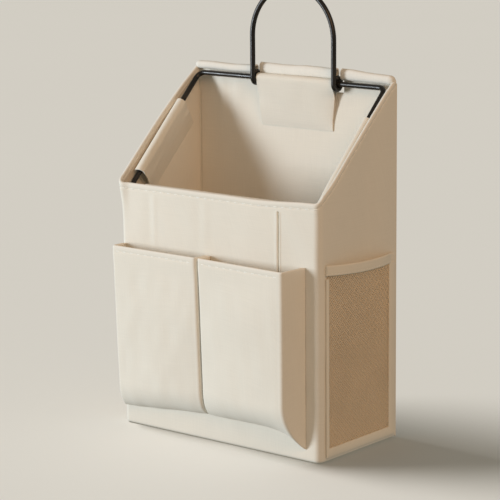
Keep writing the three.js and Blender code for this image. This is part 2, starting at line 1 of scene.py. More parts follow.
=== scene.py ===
"""Looks of a canvas bedside caddy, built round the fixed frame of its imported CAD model.

Sizes inside the classes are millimetres in the caddy's own frame: +X right seen from the front, -Y out of the
front, +Z up, origin under the middle of the base. Meshes are written in metres. Every cloth piece is a grid of
points worked out as whole arrays, given its thickness and closed.
"""

import logging
import math
from dataclasses import dataclass, field
from enum import Enum
from typing import Iterable, Optional, Sequence, Union

import bmesh
import bpy
import numpy as np
from mathutils import Matrix, Vector


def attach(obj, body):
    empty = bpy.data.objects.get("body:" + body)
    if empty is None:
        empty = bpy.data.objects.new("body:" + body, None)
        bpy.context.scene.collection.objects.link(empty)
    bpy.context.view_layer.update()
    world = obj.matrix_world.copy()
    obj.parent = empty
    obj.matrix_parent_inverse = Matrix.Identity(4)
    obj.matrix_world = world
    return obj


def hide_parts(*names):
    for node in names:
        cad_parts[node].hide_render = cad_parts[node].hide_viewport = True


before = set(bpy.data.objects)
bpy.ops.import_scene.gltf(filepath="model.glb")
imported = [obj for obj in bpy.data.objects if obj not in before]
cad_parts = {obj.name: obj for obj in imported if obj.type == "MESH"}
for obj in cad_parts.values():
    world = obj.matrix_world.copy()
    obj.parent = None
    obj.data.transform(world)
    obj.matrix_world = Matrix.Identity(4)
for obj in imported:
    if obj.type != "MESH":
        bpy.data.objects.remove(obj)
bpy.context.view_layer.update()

Array = np.ndarray
Colour = tuple[float, float, float]
Bells = tuple[Colour, ...]
LOG = logging.getLogger("bedside_caddy")
MM = 0.001
CLOTH_MAP = "Cloth"
# Per-point amount that paints folds paler: scuffing plus a painted highlight on the lit rims.
SCUFF_AND_HIGHLIGHT = "ScuffAndHighlight"
X, Y, Z = np.eye(3)
FOLD_STEPS = 7
HALF_WIDTH, HALF_DEPTH, WALL = 120.0, 59.0, 2.0
POCKET_MOUTH = 178.0


class Body(Enum):
    """The two bodies of the caddy that its pieces ride on."""

    CADDY = "caddy"
    BAIL = "bail"


class Slot(Enum):
    """Names of the record's material slots."""

    CANVAS = "canvas"
    HEM = "hem_canvas"
    BINDING = "binding"
    NETTING = "netting"
    WIRE = "coated_wire"


# ---------------------------------------------------------------------------------------------------------------
# Fields and grids


def bell(x: Array, centre: float, width: float) -> Array:
    """A bell of height 1: e to the power of minus the square of the distance over the width."""
    return np.exp(-(((x - centre) / width) ** 2))


def bells(x: Array, shapes: Bells) -> Array:
    """The sum of several bells, each given by its centre, width and height."""
    return sum(height * bell(x, centre, width) for centre, width, height in shapes)


def ease(x: Array, low: float, high: float) -> Array:
    """0 below low and 1 above high, 3t^2 - 2t^3 between them (falls instead where low is above high)."""
    t = np.clip((x - low) / (high - low), 0.0, 1.0)
    return t * t * (3.0 - 2.0 * t)


def ripple(u: Array, v: Array, seed: int, length: float) -> Array:
    """An uneven field between about -1 and 1: the mean of seven sine waves in seeded directions.

    Args:
        u: Place along the cloth.
        v: Place across the cloth.
        seed: Seed of the directions, lengths and phases.
        length: Middle wavelength of the waves.

    Returns:
        The field at each place.
    """
    rng = np.random.default_rng(seed)
    turns, phases = rng.uniform(0, math.pi, 7), rng.uniform(0, 2 * math.pi, 7)
    lengths = length * rng.uniform(0.6, 1.7, 7)
    waves = [
        np.sin(2 * math.pi * (u * math.cos(a) + v * math.sin(a)) / n + p)
        for a, n, p in zip(turns, lengths, phases)
    ]
    return sum(waves) / 3.0


def run(start: Array, end: Array, count: int, last: bool = False) -> Array:
    """Evenly spaced points from start to end along a new second axis: start + (end - start) * share.

    Args:
        start: Points of shape (rows, 3) or (3,).
        end: Points of the same shape.
        count: How many points.
        last: Whether the end point is one of them.

    Returns:
        Array of shape (rows, count, 3) or (count, 3).
    """
    share = np.linspace(0.0, 1.0, count, endpoint=last)[:, None]
    return start[..., None, :] * (1 - share) + end[..., None, :] * share


def unit(v: Array) -> Array:
    """Vectors divided by their lengths."""
    return v / np.maximum(np.linalg.norm(v, axis=-1, keepdims=True), 1e-9)


def grid_normals(grid: Array, round_columns: bool = False) -> Array:
    """Unit normals of a grid of points: the cross product of the steps along its columns and its rows.

    Args:
        grid: Points of shape (rows, columns, 3).
        round_columns: Whether the last column meets the first.

    Returns:
        Array of the same shape.
    """
    down = np.gradient(grid, axis=0)
    if round_columns:
        across = np.roll(grid, -1, axis=1) - np.roll(grid, 1, axis=1)
    else:
        across = np.gradient(grid, axis=1)
    return unit(np.cross(across, down))


def lengths_along(grid: Array, axis: int, closed: bool) -> Array:
    """Distance travelled along one axis of a grid, summed from step to step, with the closing step if closed."""
    points = np.concatenate([grid, np.take(grid, [0], axis=axis)], axis=axis) if closed else grid
    steps = np.linalg.norm(np.diff(points, axis=axis), axis=-1)
    start = np.zeros_like(np.take(steps, [0], axis=axis))
    return np.concatenate([start, np.cumsum(steps, axis=axis)], axis=axis)


def folded_over(outer: Array, outward: Array, ply: Array) -> Array:
    """The closed section of a cloth that is folded at its mouth, for every column at once.

    The outer rows run up to the mouth. A half circle of the ply's own thickness turns over the top: middle +
    outward * t/2 * cos(a) + upward * t/2 * sin(a). The inner rows run down again, each one ply inside its outer row.

    Args:
        outer: Outer face from foot to mouth, (rows, columns, 3).
        outward: Unit normals there.
        ply: Thickness there, (rows, 1) or (rows, columns).

    Returns:
        Rows of the closed section, (2 * rows + FOLD_STEPS, columns, 3).
    """
    thick = np.broadcast_to(ply, outer.shape[:2])[..., None]
    inner = outer - outward * thick
    upward = unit(outer[-1] - outer[-2])
    middle = (outer[-1] + inner[-1]) / 2
    side = unit(outer[-1] - inner[-1])
    half = thick[-1] / 2
    turn = np.linspace(0, math.pi, FOLD_STEPS + 2)[1:-1, None, None]
    fold = middle + side * half * np.cos(turn) + upward * half * np.sin(turn)
    return np.concatenate([outer, fold, inner[::-1]])


@dataclass
class Skin:
    """One closed surface: its points, four-cornered faces and cloth coordinates, in millimetres, and how much paler
    each point is painted, for scuffing and a painted highlight.
    """

    points: Array
    faces: Array
    cloth: Array
    scuff_and_highlight: Optional[Array] = None

    @classmethod
    def from_grid(
        cls,
        grid: Array,
        round_rows: bool = False,
        round_columns: bool = False,
        scuff_and_highlight: Optional[Array] = None,
        capped: bool = False,
    ) -> "Skin":
        """A skin over a grid of points, whose cloth coordinates are the lengths along its columns and rows.

        Args:
            grid: Points of shape (rows, columns, 3).
            round_rows: Whether the last row meets the first.
            round_columns: Whether the last column meets the first.
            scuff_and_highlight: How much paler each point is painted, for scuffing and a painted highlight on lit
                folds, of shape (rows, columns).
            capped: Whether the two open ends of a thin closed section are closed by a ribbon of faces, which
                joins each point to the one opposite: place k to place n - 1 - k.

        Returns:
            The skin.
        """
        rows, columns = grid.shape[:2]
        i = np.arange(rows if round_rows else rows - 1)[:, None]
        j = np.arange(columns if round_columns else columns - 1)[None, :]
        ni, nj = (i + 1) % rows, (j + 1) % columns
        faces = np.stack([i * columns + j, i * columns + nj, ni * columns + nj, ni * columns + j], -1)
        u = lengths_along(grid, 1, round_columns)
        v = lengths_along(grid, 0, round_rows)
        u = np.concatenate([u, u[:1]]) if round_rows else u
        v = np.concatenate([v, v[:, :1]], axis=1) if round_columns else v
        flat = np.stack([u, v], -1)
        cloth = np.stack([flat[i, j], flat[i, j + 1], flat[i + 1, j + 1], flat[i + 1, j]], -2)
        faces, cloth = faces.reshape(-1, 4), cloth.reshape(-1, 4, 2)
        if capped:
            index = np.arange(rows * columns).reshape(rows, columns)
            ends = [index[0], index[-1]] if round_columns else [index[:, 0], index[:, -1]]
            for ring in ends:
                half = len(ring) // 2
                k = np.arange(half - 1 if len(ring) % 2 == 0 else half)
                ribbon = np.stack([ring[k], ring[k + 1], ring[len(ring) - 2 - k], ring[len(ring) - 1 - k]], -1)
                faces = np.concatenate([faces, ribbon])
                flat_ends = grid.reshape(-1, 3)[ribbon][..., [1, 2]]
                cloth = np.concatenate([cloth, flat_ends])
        scuffed_and_highlit = None if scuff_and_highlight is None else np.broadcast_to(scuff_and_highlight, (rows, columns)).reshape(-1)
        return cls(grid.reshape(-1, 3), faces, cloth, scuffed_and_highlit)

    @classmethod
    def joined(cls, skins: Iterable["Skin"]) -> "Skin":
        """Several skins as one, each with its own points."""
        parts = list(skins)
        starts = np.cumsum([0] + [len(s.points) for s in parts[:-1]])
        scuff_and_highlight_parts = [np.zeros(len(s.points)) if s.scuff_and_highlight is None else s.scuff_and_highlight for s in parts]
        return cls(
            np.concatenate([s.points for s in parts]),
            np.concatenate([s.faces + at for s, at in zip(parts, starts)]),
            np.concatenate([s.cloth for s in parts]),
            np.concatenate(scuff_and_highlight_parts),
        )

    def mirrored(self) -> "Skin":
        """The same skin on the other side of the caddy: x becomes -x, and the faces run the other way."""
        return Skin(self.points * (-1, 1, 1), self.faces[:, ::-1], self.cloth[:, ::-1], self.scuff_and_highlight)

    def mesh(self, name: str, sharp: float) -> bpy.types.Mesh:
        """The skin as a Blender mesh, welded, turned outwards and smooth except at sharp edges.

        Args:
            name: Name of the mesh.
            sharp: Angle in degrees above which an edge stays sharp.

        Returns:
            The mesh, in metres.
        """
        mesh = bpy.data.meshes.new(name)
        mesh.vertices.add(len(self.points))
        mesh.vertices.foreach_set("co", (self.points * MM).astype(np.float32).ravel())
        mesh.loops.add(self.faces.size)
        mesh.loops.foreach_set("vertex_index", self.faces.astype(np.int32).ravel())
        mesh.polygons.add(len(self.faces))
        mesh.polygons.foreach_set("loop_start", np.arange(0, self.faces.size, 4, dtype=np.int32))
        mesh.update(calc_edges=True)
        mesh.uv_layers.new(name=CLOTH_MAP).data.foreach_set("uv", self.cloth.astype(np.float32).ravel())
        # Stores how much paler each point is painted (scuffing plus a painted highlight) as a mesh attribute.
        scuff_and_highlight_amounts = np.zeros(len(self.points)) if self.scuff_and_highlight is None else self.scuff_and_highlight
        mesh.attributes.new(SCUFF_AND_HIGHLIGHT, "FLOAT", "POINT").data.foreach_set("value", scuff_and_highlight_amounts.astype(np.float32))
        shell = bmesh.new()
        shell.from_mesh(mesh)
        bmesh.ops.remove_doubles(shell, verts=shell.verts, dist=1e-6)
        bmesh.ops.dissolve_degenerate(shell, edges=shell.edges, dist=1e-7)
        bmesh.ops.recalc_face_normals(shell, faces=shell.faces)
        if shell.calc_volume(signed=True) < 0:
            bmesh.ops.reverse_faces(shell, faces=shell.faces)
        shell.to_mesh(mesh)
        shell.free()
        mesh.shade_smooth()
        mesh.set_sharp_from_angle(angle=math.radians(sharp))
        mesh.validate()
        return mesh


def put(
    name: str,
    skin: Skin,
    material: bpy.types.Material,
    replaces: Sequence[str] = (),
    body: Body = Body.CADDY,
    sharp: float = 50.0,
    smoother: int = 0,
) -> bpy.types.Object:
    """Adds a finished piece to the scene and ties it to the frame.

    Args:
        name: Name of the piece.
        skin: Its surface.
        material: Its finish.
        replaces: The CAD nodes that it stands for.
        body: The body that it rides on.
        sharp: Angle in degrees above which an edge stays sharp.
        smoother: Levels of subdivision.

    Returns:
        The piece's object.
    """
    mesh = skin.mesh(name, sharp)
    mesh.materials.append(material)
    piece = bpy.data.objects.new(name, mesh)
    bpy.context.scene.collection.objects.link(piece)
    if smoother:
        level = piece.modifiers.new("Smoother", "SUBSURF")
        level.levels = level.render_levels = smoother
    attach(piece, body.value)
    if replaces:
        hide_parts(*replaces)
    LOG.info("%s: %d faces, stands for %s", name, len(mesh.polygons), ", ".join(replaces) or "no node")
    return piece


def swept(centres: Array, first: Array, second: Array, section: Array) -> Array:
    """A section carried along a path: centre + first * a + second * b for every station and section point.

    Args:
        centres: Stations of the path, (stations, 3).
        first: First direction of the section at each station, (stations, 3) or (3,).
        second: Second direction at each station.
        section: Section points (a, b), (points, 2) or (stations, points, 2).

    Returns:
        Grid of shape (stations, points, 3).
    """
    count = len(centres)
    along = np.broadcast_to(section, (count, *section.shape[-2:]))
    one = np.broadcast_to(first, (count, 3))[:, None, :]
    two = np.broadcast_to(second, (count, 3))[:, None, :]
    return centres[:, None, :] + along[..., :1] * one + along[..., 1:] * two


def ring(radius: Union[float, Array], count: int) -> Array:
    """Points of a circle: (r cos a, r sin a) at even angles."""
    turn = np.linspace(0, 2 * math.pi, count, endpoint=False)
    return np.stack([np.cos(turn), np.sin(turn)], -1) * radius


def arc(centre: Array, first: Array, second: Array, radius: float, start: float, end: float, count: int) -> Array:
    """Points on an arc: centre + first * r cos a + second * r sin a, with a running from start to end."""
    turn = np.linspace(start, end, count)[:, None]
    return centre + radius * (np.cos(turn) * first + np.sin(turn) * second)


def rounded_strip(width: float, height: float, radius: float, steps: int = 4, flats: int = 3) -> Array:
    """Closed outline of a flat strip with rounded edges, from (0, 0) to (width, height), run round once.

    Each corner is a quarter circle of the radius, and each side between them is split into a few parts.
    """
    radius = min(radius, width / 2.001, height / 2.001)
    corners = [(width - radius, radius, -90), (width - radius, height - radius, 0),
               (radius, height - radius, 90), (radius, radius, 180)]
    parts = []
    for k, (x, y, start) in enumerate(corners):
        turn = np.radians(np.linspace(start, start + 90, steps + 1))
        bend = np.stack([x + radius * np.cos(turn), y + radius * np.sin(turn)], -1)
        nx, ny, nstart = corners[(k + 1) % 4]
        nturn = math.radians(nstart)
        after = np.array([nx + radius * math.cos(nturn), ny + radius * math.sin(nturn)])
        parts += [bend, run(bend[-1], after, flats + 1)[1:]]
    return np.concatenate(parts)


def resampled(points: Array, count: int) -> Array:
    """The same open line with evenly spaced points, read off by the length travelled along it."""
    travelled = lengths_along(points[None], 1, False)[0]
    wanted = np.linspace(0, travelled[-1], count)
    return np.stack([np.interp(wanted, travelled, points[:, k]) for k in range(points.shape[1])], -1)


# ---------------------------------------------------------------------------------------------------------------
# Finishes


class Amount:
    """A number that varies over a surface. Its operators add Math nodes to the material that it belongs to."""

    def __init__(self, recipe: "Recipe", socket: bpy.types.NodeSocket) -> None:
        """Wraps an output socket of a recipe's node."""
        self.recipe = recipe
        self.socket = socket

    def _math(self, operation: str, *values: Union["Amount", float]) -> "Amount":
        """A Math node of that operation, whose inputs are the values in order."""
        node = self.recipe.node("ShaderNodeMath", {"operation": operation}, dict(enumerate(values)))
        return Amount(self.recipe, node.outputs[0])

    def __add__(self, other: Union["Amount", float]) -> "Amount":
        """Sum."""
        return self._math("ADD", self, other)

    __radd__ = __add__

    def __sub__(self, other: Union["Amount", float]) -> "Amount":
        """Difference."""
        return self._math("SUBTRACT", self, other)

    def __rsub__(self, other: float) -> "Amount":
        """Difference from a number."""
        return self._math("SUBTRACT", other, self)

    def __mul__(self, other: Union["Amount", float]) -> "Amount":
        """Product."""
        return self._math("MULTIPLY", self, other)

    __rmul__ = __mul__

    def __abs__(self) -> "Amount":
        """Size without its sign."""
        return self._math("ABSOLUTE", self)

    def sine(self) -> "Amount":
        """Sine of the number in radians."""
        return self._math("SINE", self)

    def between(self, low: float, high: float) -> "Amount":
        """0 at low, 1 at high and smooth in between."""
        inputs = {"Value": self, "From Min": low, "From Max": high}
        node = self.recipe.node("ShaderNodeMapRange", {"interpolation_type": "SMOOTHSTEP"}, inputs)
        return Amount(self.recipe, node.outputs["Result"])


class Recipe:
    """The node tree of one finish, with its Principled shader at the end."""

    def __init__(self, name: str) -> None:
        """Starts an empty material of that name."""
        self.material = bpy.data.materials.new(name)
        self.material.use_nodes = True
        self.tree = self.material.node_tree
        self.tree.nodes.clear()
        self.shader = self.node("ShaderNodeBsdfPrincipled", {}, {})
        self.node("ShaderNodeOutputMaterial", {}, {"Surface": self.shader.outputs["BSDF"]})

    def node(self, kind: str, settings: dict, inputs: dict) -> bpy.types.Node:
        """Adds a node.

        Args:
            kind: Its type.
            settings: Its own settings, which are set first.
            inputs: The value or link of each socket, by name or place.

        Returns:
            The node.
        """
        node = self.tree.nodes.new(kind)
        for key, value in settings.items():
            setattr(node, key, value)
        for key, value in inputs.items():
            self.feed(node.inputs[key], value)
        return node

    def feed(self, socket: bpy.types.NodeSocket, value: object) -> None:
        """Links a socket or an amount to an input, or sets the input to a plain value."""
        if isinstance(value, Amount):
            value = value.socket
        if isinstance(value, bpy.types.NodeSocket):
            self.tree.links.new(value, socket)
        else:
            socket.default_value = value

    def surface(self, **values: object) -> None:
        """Feeds the shader's sockets; an underscore in a name stands for a space."""
        for key, value in values.items():
            self.feed(self.shader.inputs[key.replace("_", " ")], value)

    def cloth(self) -> tuple[Amount, Amount]:
        """The two cloth coordinates of the piece, in millimetres."""
        uv = self.node("ShaderNodeUVMap", {"uv_map": CLOTH_MAP}, {})
        parts = self.node("ShaderNodeSeparateXYZ", {}, {0: uv.outputs[0]})
        return Amount(self, parts.outputs[0]), Amount(self, parts.outputs[1])

    def place(self) -> bpy.types.NodeSocket:
        """The place on the piece in its own frame, in metres."""
        return self.node("ShaderNodeTexCoord", {}, {}).outputs["Object"]

    def scuff_and_highlight(self) -> Amount:
        """How much paler the piece is painted here, from 0 to 1: scuffing plus a painted highlight on lit folds."""
        node = self.node("ShaderNodeAttribute", {"attribute_name": SCUFF_AND_HIGHLIGHT, "attribute_type": "GEOMETRY"}, {})
        return Amount(self, node.outputs["Fac"])

    def noise(self, vector: object, scale: float, detail: float = 2.0, rough: float = 0.5) -> Amount:
        """Noise from 0 to 1 at a vector."""
        node = self.node(
            "ShaderNodeTexNoise",
            {"noise_dimensions": "3D"},
            {"Vector": vector, "Scale": scale, "Detail": detail, "Roughness": rough},
        )
        return Amount(self, node.outputs["Fac"])

    def vector(self, x: object, y: object, z: object = 0.0) -> bpy.types.NodeSocket:
        """Three numbers as a vector."""
        return self.node("ShaderNodeCombineXYZ", {}, {0: x, 1: y, 2: z}).outputs[0]

    def mixed(self, first: object, second: object, share: Amount) -> bpy.types.NodeSocket:
        """A colour between two, by a share."""
        inputs = {"Factor": share, 6: first, 7: second}
        return self.node("ShaderNodeMix", {"data_type": "RGBA"}, inputs).outputs[2]

    def bumped(self, height: Amount, depth: float, strength: float = 1.0) -> bpy.types.NodeSocket:
        """The normal over a height from 0 to 1 that stands for a depth in metres."""
        inputs = {"Height": height, "Distance": depth, "Strength": strength}
        return self.node("ShaderNodeBump", {}, inputs).outputs[0]


def tinted(colour: Colour, by: float) -> tuple[float, float, float, float]:
    """A colour made lighter or darker by a factor, with full opacity."""
    return tuple(min(1.0, c * by) for c in colour) + (1.0,)


@dataclass(frozen=True)
class WovenFinish:
    """Plain woven cotton: crossing threads, slubs, a little mottling, and paler folds that are partly scuffing and
    partly a painted highlight.
    """

    name: str
    colour: Colour
    thread: float = 0.62
    relief: float = 0.05
    roughness: float = 0.88
    slub: float = 0.035
    sheen: float = 0.12

    def material(self) -> bpy.types.Material:
        """Height of the weave: two ridges |cos| that cross, plus their chequered over and under, plus slubs."""
        recipe = Recipe(self.name)
        u, v = recipe.cloth()
        per_thread = math.pi / self.thread
        warp, weft = (u * per_thread).sine(), (v * per_thread).sine()
        weave = 0.5 + warp * weft * 0.3 - (abs(warp) + abs(weft)) * 0.12
        slub_along = recipe.noise(recipe.vector(u * 0.03, v * 1.3), 1.0, 2.0)
        slub_up = recipe.noise(recipe.vector(u * 1.3, v * 0.03, 7.0), 1.0, 2.0)
        slubs = (slub_along + slub_up) * 0.5
        patches = recipe.noise(recipe.place(), 14.0, 3.0, 0.55)
        tone = slubs.between(0.3, 0.7) * 0.6 + patches.between(0.3, 0.7) * 0.4
        dark, light = tinted(self.colour, 1 - self.slub), tinted(self.colour, 1 + self.slub)
        ground = recipe.mixed(dark, light, tone)
        # Paler colour for folds: partly scuffing, partly a painted highlight where the rims catch the light.
        scuffed_and_highlit = tinted(tuple(0.7 * c + 0.3 * max(self.colour) for c in self.colour), 1.06)
        recipe.surface(
            Base_Color=recipe.mixed(ground, scuffed_and_highlit, recipe.scuff_and_highlight() * 0.6),
            Roughness=self.roughness - 0.05 * tone,
            Normal=recipe.bumped(weave + slubs * 0.8, self.relief * MM),
            Sheen_Weight=self.sheen,
            Sheen_Roughness=0.6,
            Specular_IOR_Level=0.25,
        )
        return recipe.material


@dataclass(frozen=True)
class CordFinish:
    """Twisted yarn for stitches and netting: slanting plies that show as fine stripes."""

    name: str
    colour: Colour
    lay: float = 0.5
    relief: float = 0.06
    roughness: float = 0.8

    def material(self) -> bpy.types.Material:
        """Height of the plies: a sine wave along the yarn that slants round it, and a little fuzz."""
        recipe = Recipe(self.name)
        u, v = recipe.cloth()
        plies = ((u + v) * (2 * math.pi / self.lay)).sine() * 0.5 + 0.5
        fuzz = recipe.noise(recipe.place(), 900.0, 2.0)
        patches = recipe.noise(recipe.place(), 25.0, 2.0)
        tone = plies * 0.35 + fuzz.between(0.3, 0.7) * 0.35 + patches.between(0.3, 0.7) * 0.3
        recipe.surface(
            Base_Color=recipe.mixed(tinted(self.colour, 0.86), tinted(self.colour, 1.1), tone),
            Roughness=self.roughness - 0.08 * tone,
            Normal=recipe.bumped(plies + fuzz, self.relief * MM),
            Specular_IOR_Level=0.3,
        )
        return recipe.material


@dataclass(frozen=True)
class CoatedWireFinish:
    """Satin black coating on steel wire, a little uneven and a little duller where it is handled."""

    name: str = "satin_black_coating"
    colour: Colour = (0.011, 0.0095, 0.008)
    roughness: float = 0.27

    def material(self) -> bpy.types.Material:
        """Roughness: a base value plus slow patches; height: fine grains of the coating."""
        recipe = Recipe(self.name)
        grains = recipe.noise(recipe.place(), 1400.0, 2.0)
        patches = recipe.noise(recipe.place(), 60.0, 3.0).between(0.35, 0.7)
        recipe.surface(
            Base_Color=recipe.mixed(tinted(self.colour, 0.85), tinted(self.colour, 1.7), patches),
            Roughness=self.roughness + 0.12 * patches,
            Normal=recipe.bumped(grains, 0.02 * MM),
            Specular_IOR_Level=0.4,
        )
        return recipe.material


@dataclass(frozen=True)
class FibreboardFinish:
    """Grey-brown stiffening board with short fibres and darker specks."""

    name: str = "pressed_fibreboard"
    colour: Colour = (0.5, 0.42, 0.32)

    def material(self) -> bpy.types.Material:
        """Tone: drawn-out noise for the fibres, with small specks where a finer noise is highest."""
        recipe = Recipe(self.name)
        place = recipe.place()
        drawn = recipe.node("ShaderNodeMapping", {}, {"Vector": place, "Scale": (60.0, 420.0, 60.0)}).outputs[0]
        fibres = recipe.noise(drawn, 1.0, 4.0, 0.65)
        specks = recipe.noise(place, 700.0, 2.0).between(0.62, 0.75)
        ground = recipe.mixed(tinted(self.colour, 0.8), tinted(self.colour, 1.15), fibres)
        recipe.surface(
            Base_Color=recipe.mixed(ground, tinted(self.colour, 0.55), specks * 0.6),
            Roughness=0.8 - 0.1 * fibres,
            Normal=recipe.bumped(fibres, 0.12 * MM),
        )
        return recipe.material


@dataclass
class Finishes:
    """All materials of the caddy, made once."""

    canvas_colour: Colour = (0.79, 0.745, 0.655)
    canvas: bpy.types.Material = field(init=False)
    rim: bpy.types.Material = field(init=False)
    tape: bpy.types.Material = field(init=False)
    net: bpy.types.Material = field(init=False)
    thread: bpy.types.Material = field(init=False)
    wire: bpy.types.Material = field(init=False)
    board: bpy.types.Material = field(init=False)

    def __post_init__(self) -> None:
        """Makes each material from its finish."""
        self.canvas = WovenFinish("cotton_canvas", self.canvas_colour).material()
        self.rim = WovenFinish("rolled_canvas_edge", (0.81, 0.782, 0.715), relief=0.045).material()
        self.tape = WovenFinish("canvas_tape", (0.8, 0.745, 0.64), thread=0.5, slub=0.05).material()
        self.net = CordFinish("netting_cord", (0.78, 0.65, 0.48), lay=0.9).material()
        self.thread = CordFinish("sewing_thread", (0.92, 0.9, 0.84)).material()
        self.wire = CoatedWireFinish().material()
        self.board = FibreboardFinish().material()


# ---------------------------------------------------------------------------------------------------------------
# The caddy's sub-assemblies


@dataclass
class Stitching:
    """A row of thread: short capsules, half sunk into the cloth, at an even pitch along a line."""

    length: float = 5.2
    gap: float = 3.9
    width: float = 0.9
    rise: float = 0.44
    sides: int = 6

    def capsule(self) -> Array:
        """One stitch along the first axis: rings whose radius follows the root of 1 - t^2, and whose ends dip."""
        t = np.linspace(-1, 1, 7)
        radius = np.sqrt(np.maximum(1 - t**4, 0.02))[:, None]
        section = ring(0.5, self.sides)[None]
        around = section * radius[..., None]
        x = np.broadcast_to((t * self.length / 2)[:, None], around.shape[:2])
        dip = -0.3 * t[:, None] ** 2
        return np.stack([x, around[..., 0] * self.width, around[..., 1] * 2 * self.rise + dip], -1)

    def row(self, line: Array, outward: Array) -> Skin:
        """Stitches laid along a line.

        Args:
            line: Points on the cloth, (points, 3).
            outward: Unit normals of the cloth there.

        Returns:
            All stitches of the row as one skin.
        """
        travelled = lengths_along(line[None], 1, False)[0]
        pitch = self.length + self.gap
        count = max(1, int((travelled[-1] - self.gap) // pitch))
        start = (travelled[-1] - count * pitch) / 2
        middles = start + pitch * (np.arange(count) + 0.5)
        read = lambda at, data: np.stack([np.interp(at, travelled, data[:, k]) for k in range(3)], -1)
        centre = read(middles, line)
        along = unit(read(middles + self.length / 2, line) - read(middles - self.length / 2, line))
        up = unit(read(middles, outward))
        side = unit(np.cross(up, along))
        up = np.cross(along, side)
        shape = self.capsule()
        axes = np.stack([along, side, up], 1)
        placed = centre[:, None, None] + np.einsum("rpk,nkx->nrpx", shape, axes)
        rings, points = shape.shape[:2]
        return Skin.joined(
            [Skin.from_grid(one, round_columns=True, capped=True) for one in placed.reshape(count, rings, points, 3)]
        )


@dataclass
class Pocket:
    """One gusseted end of a front pocket.

    Attributes:
        x: Where the gusset meets the wall.
        depth: How far it stands out at the mouth.
        foot_depth: How far it stands out above the scoop.
        foot: Height of its lowest point.
        scoop: Height of the scooped foot.
        lean: How far its front corner leans towards the pocket's middle.
        dip: Power that keeps the foot's line level before it falls to this end.
        rise: How much higher the gusset's mouth is at the wall.
    """

    x: float
    depth: float
    foot_depth: float
    foot: float
    scoop: float
    lean: float = 0.0
    dip: float = 1.0
    rise: float = 0.0


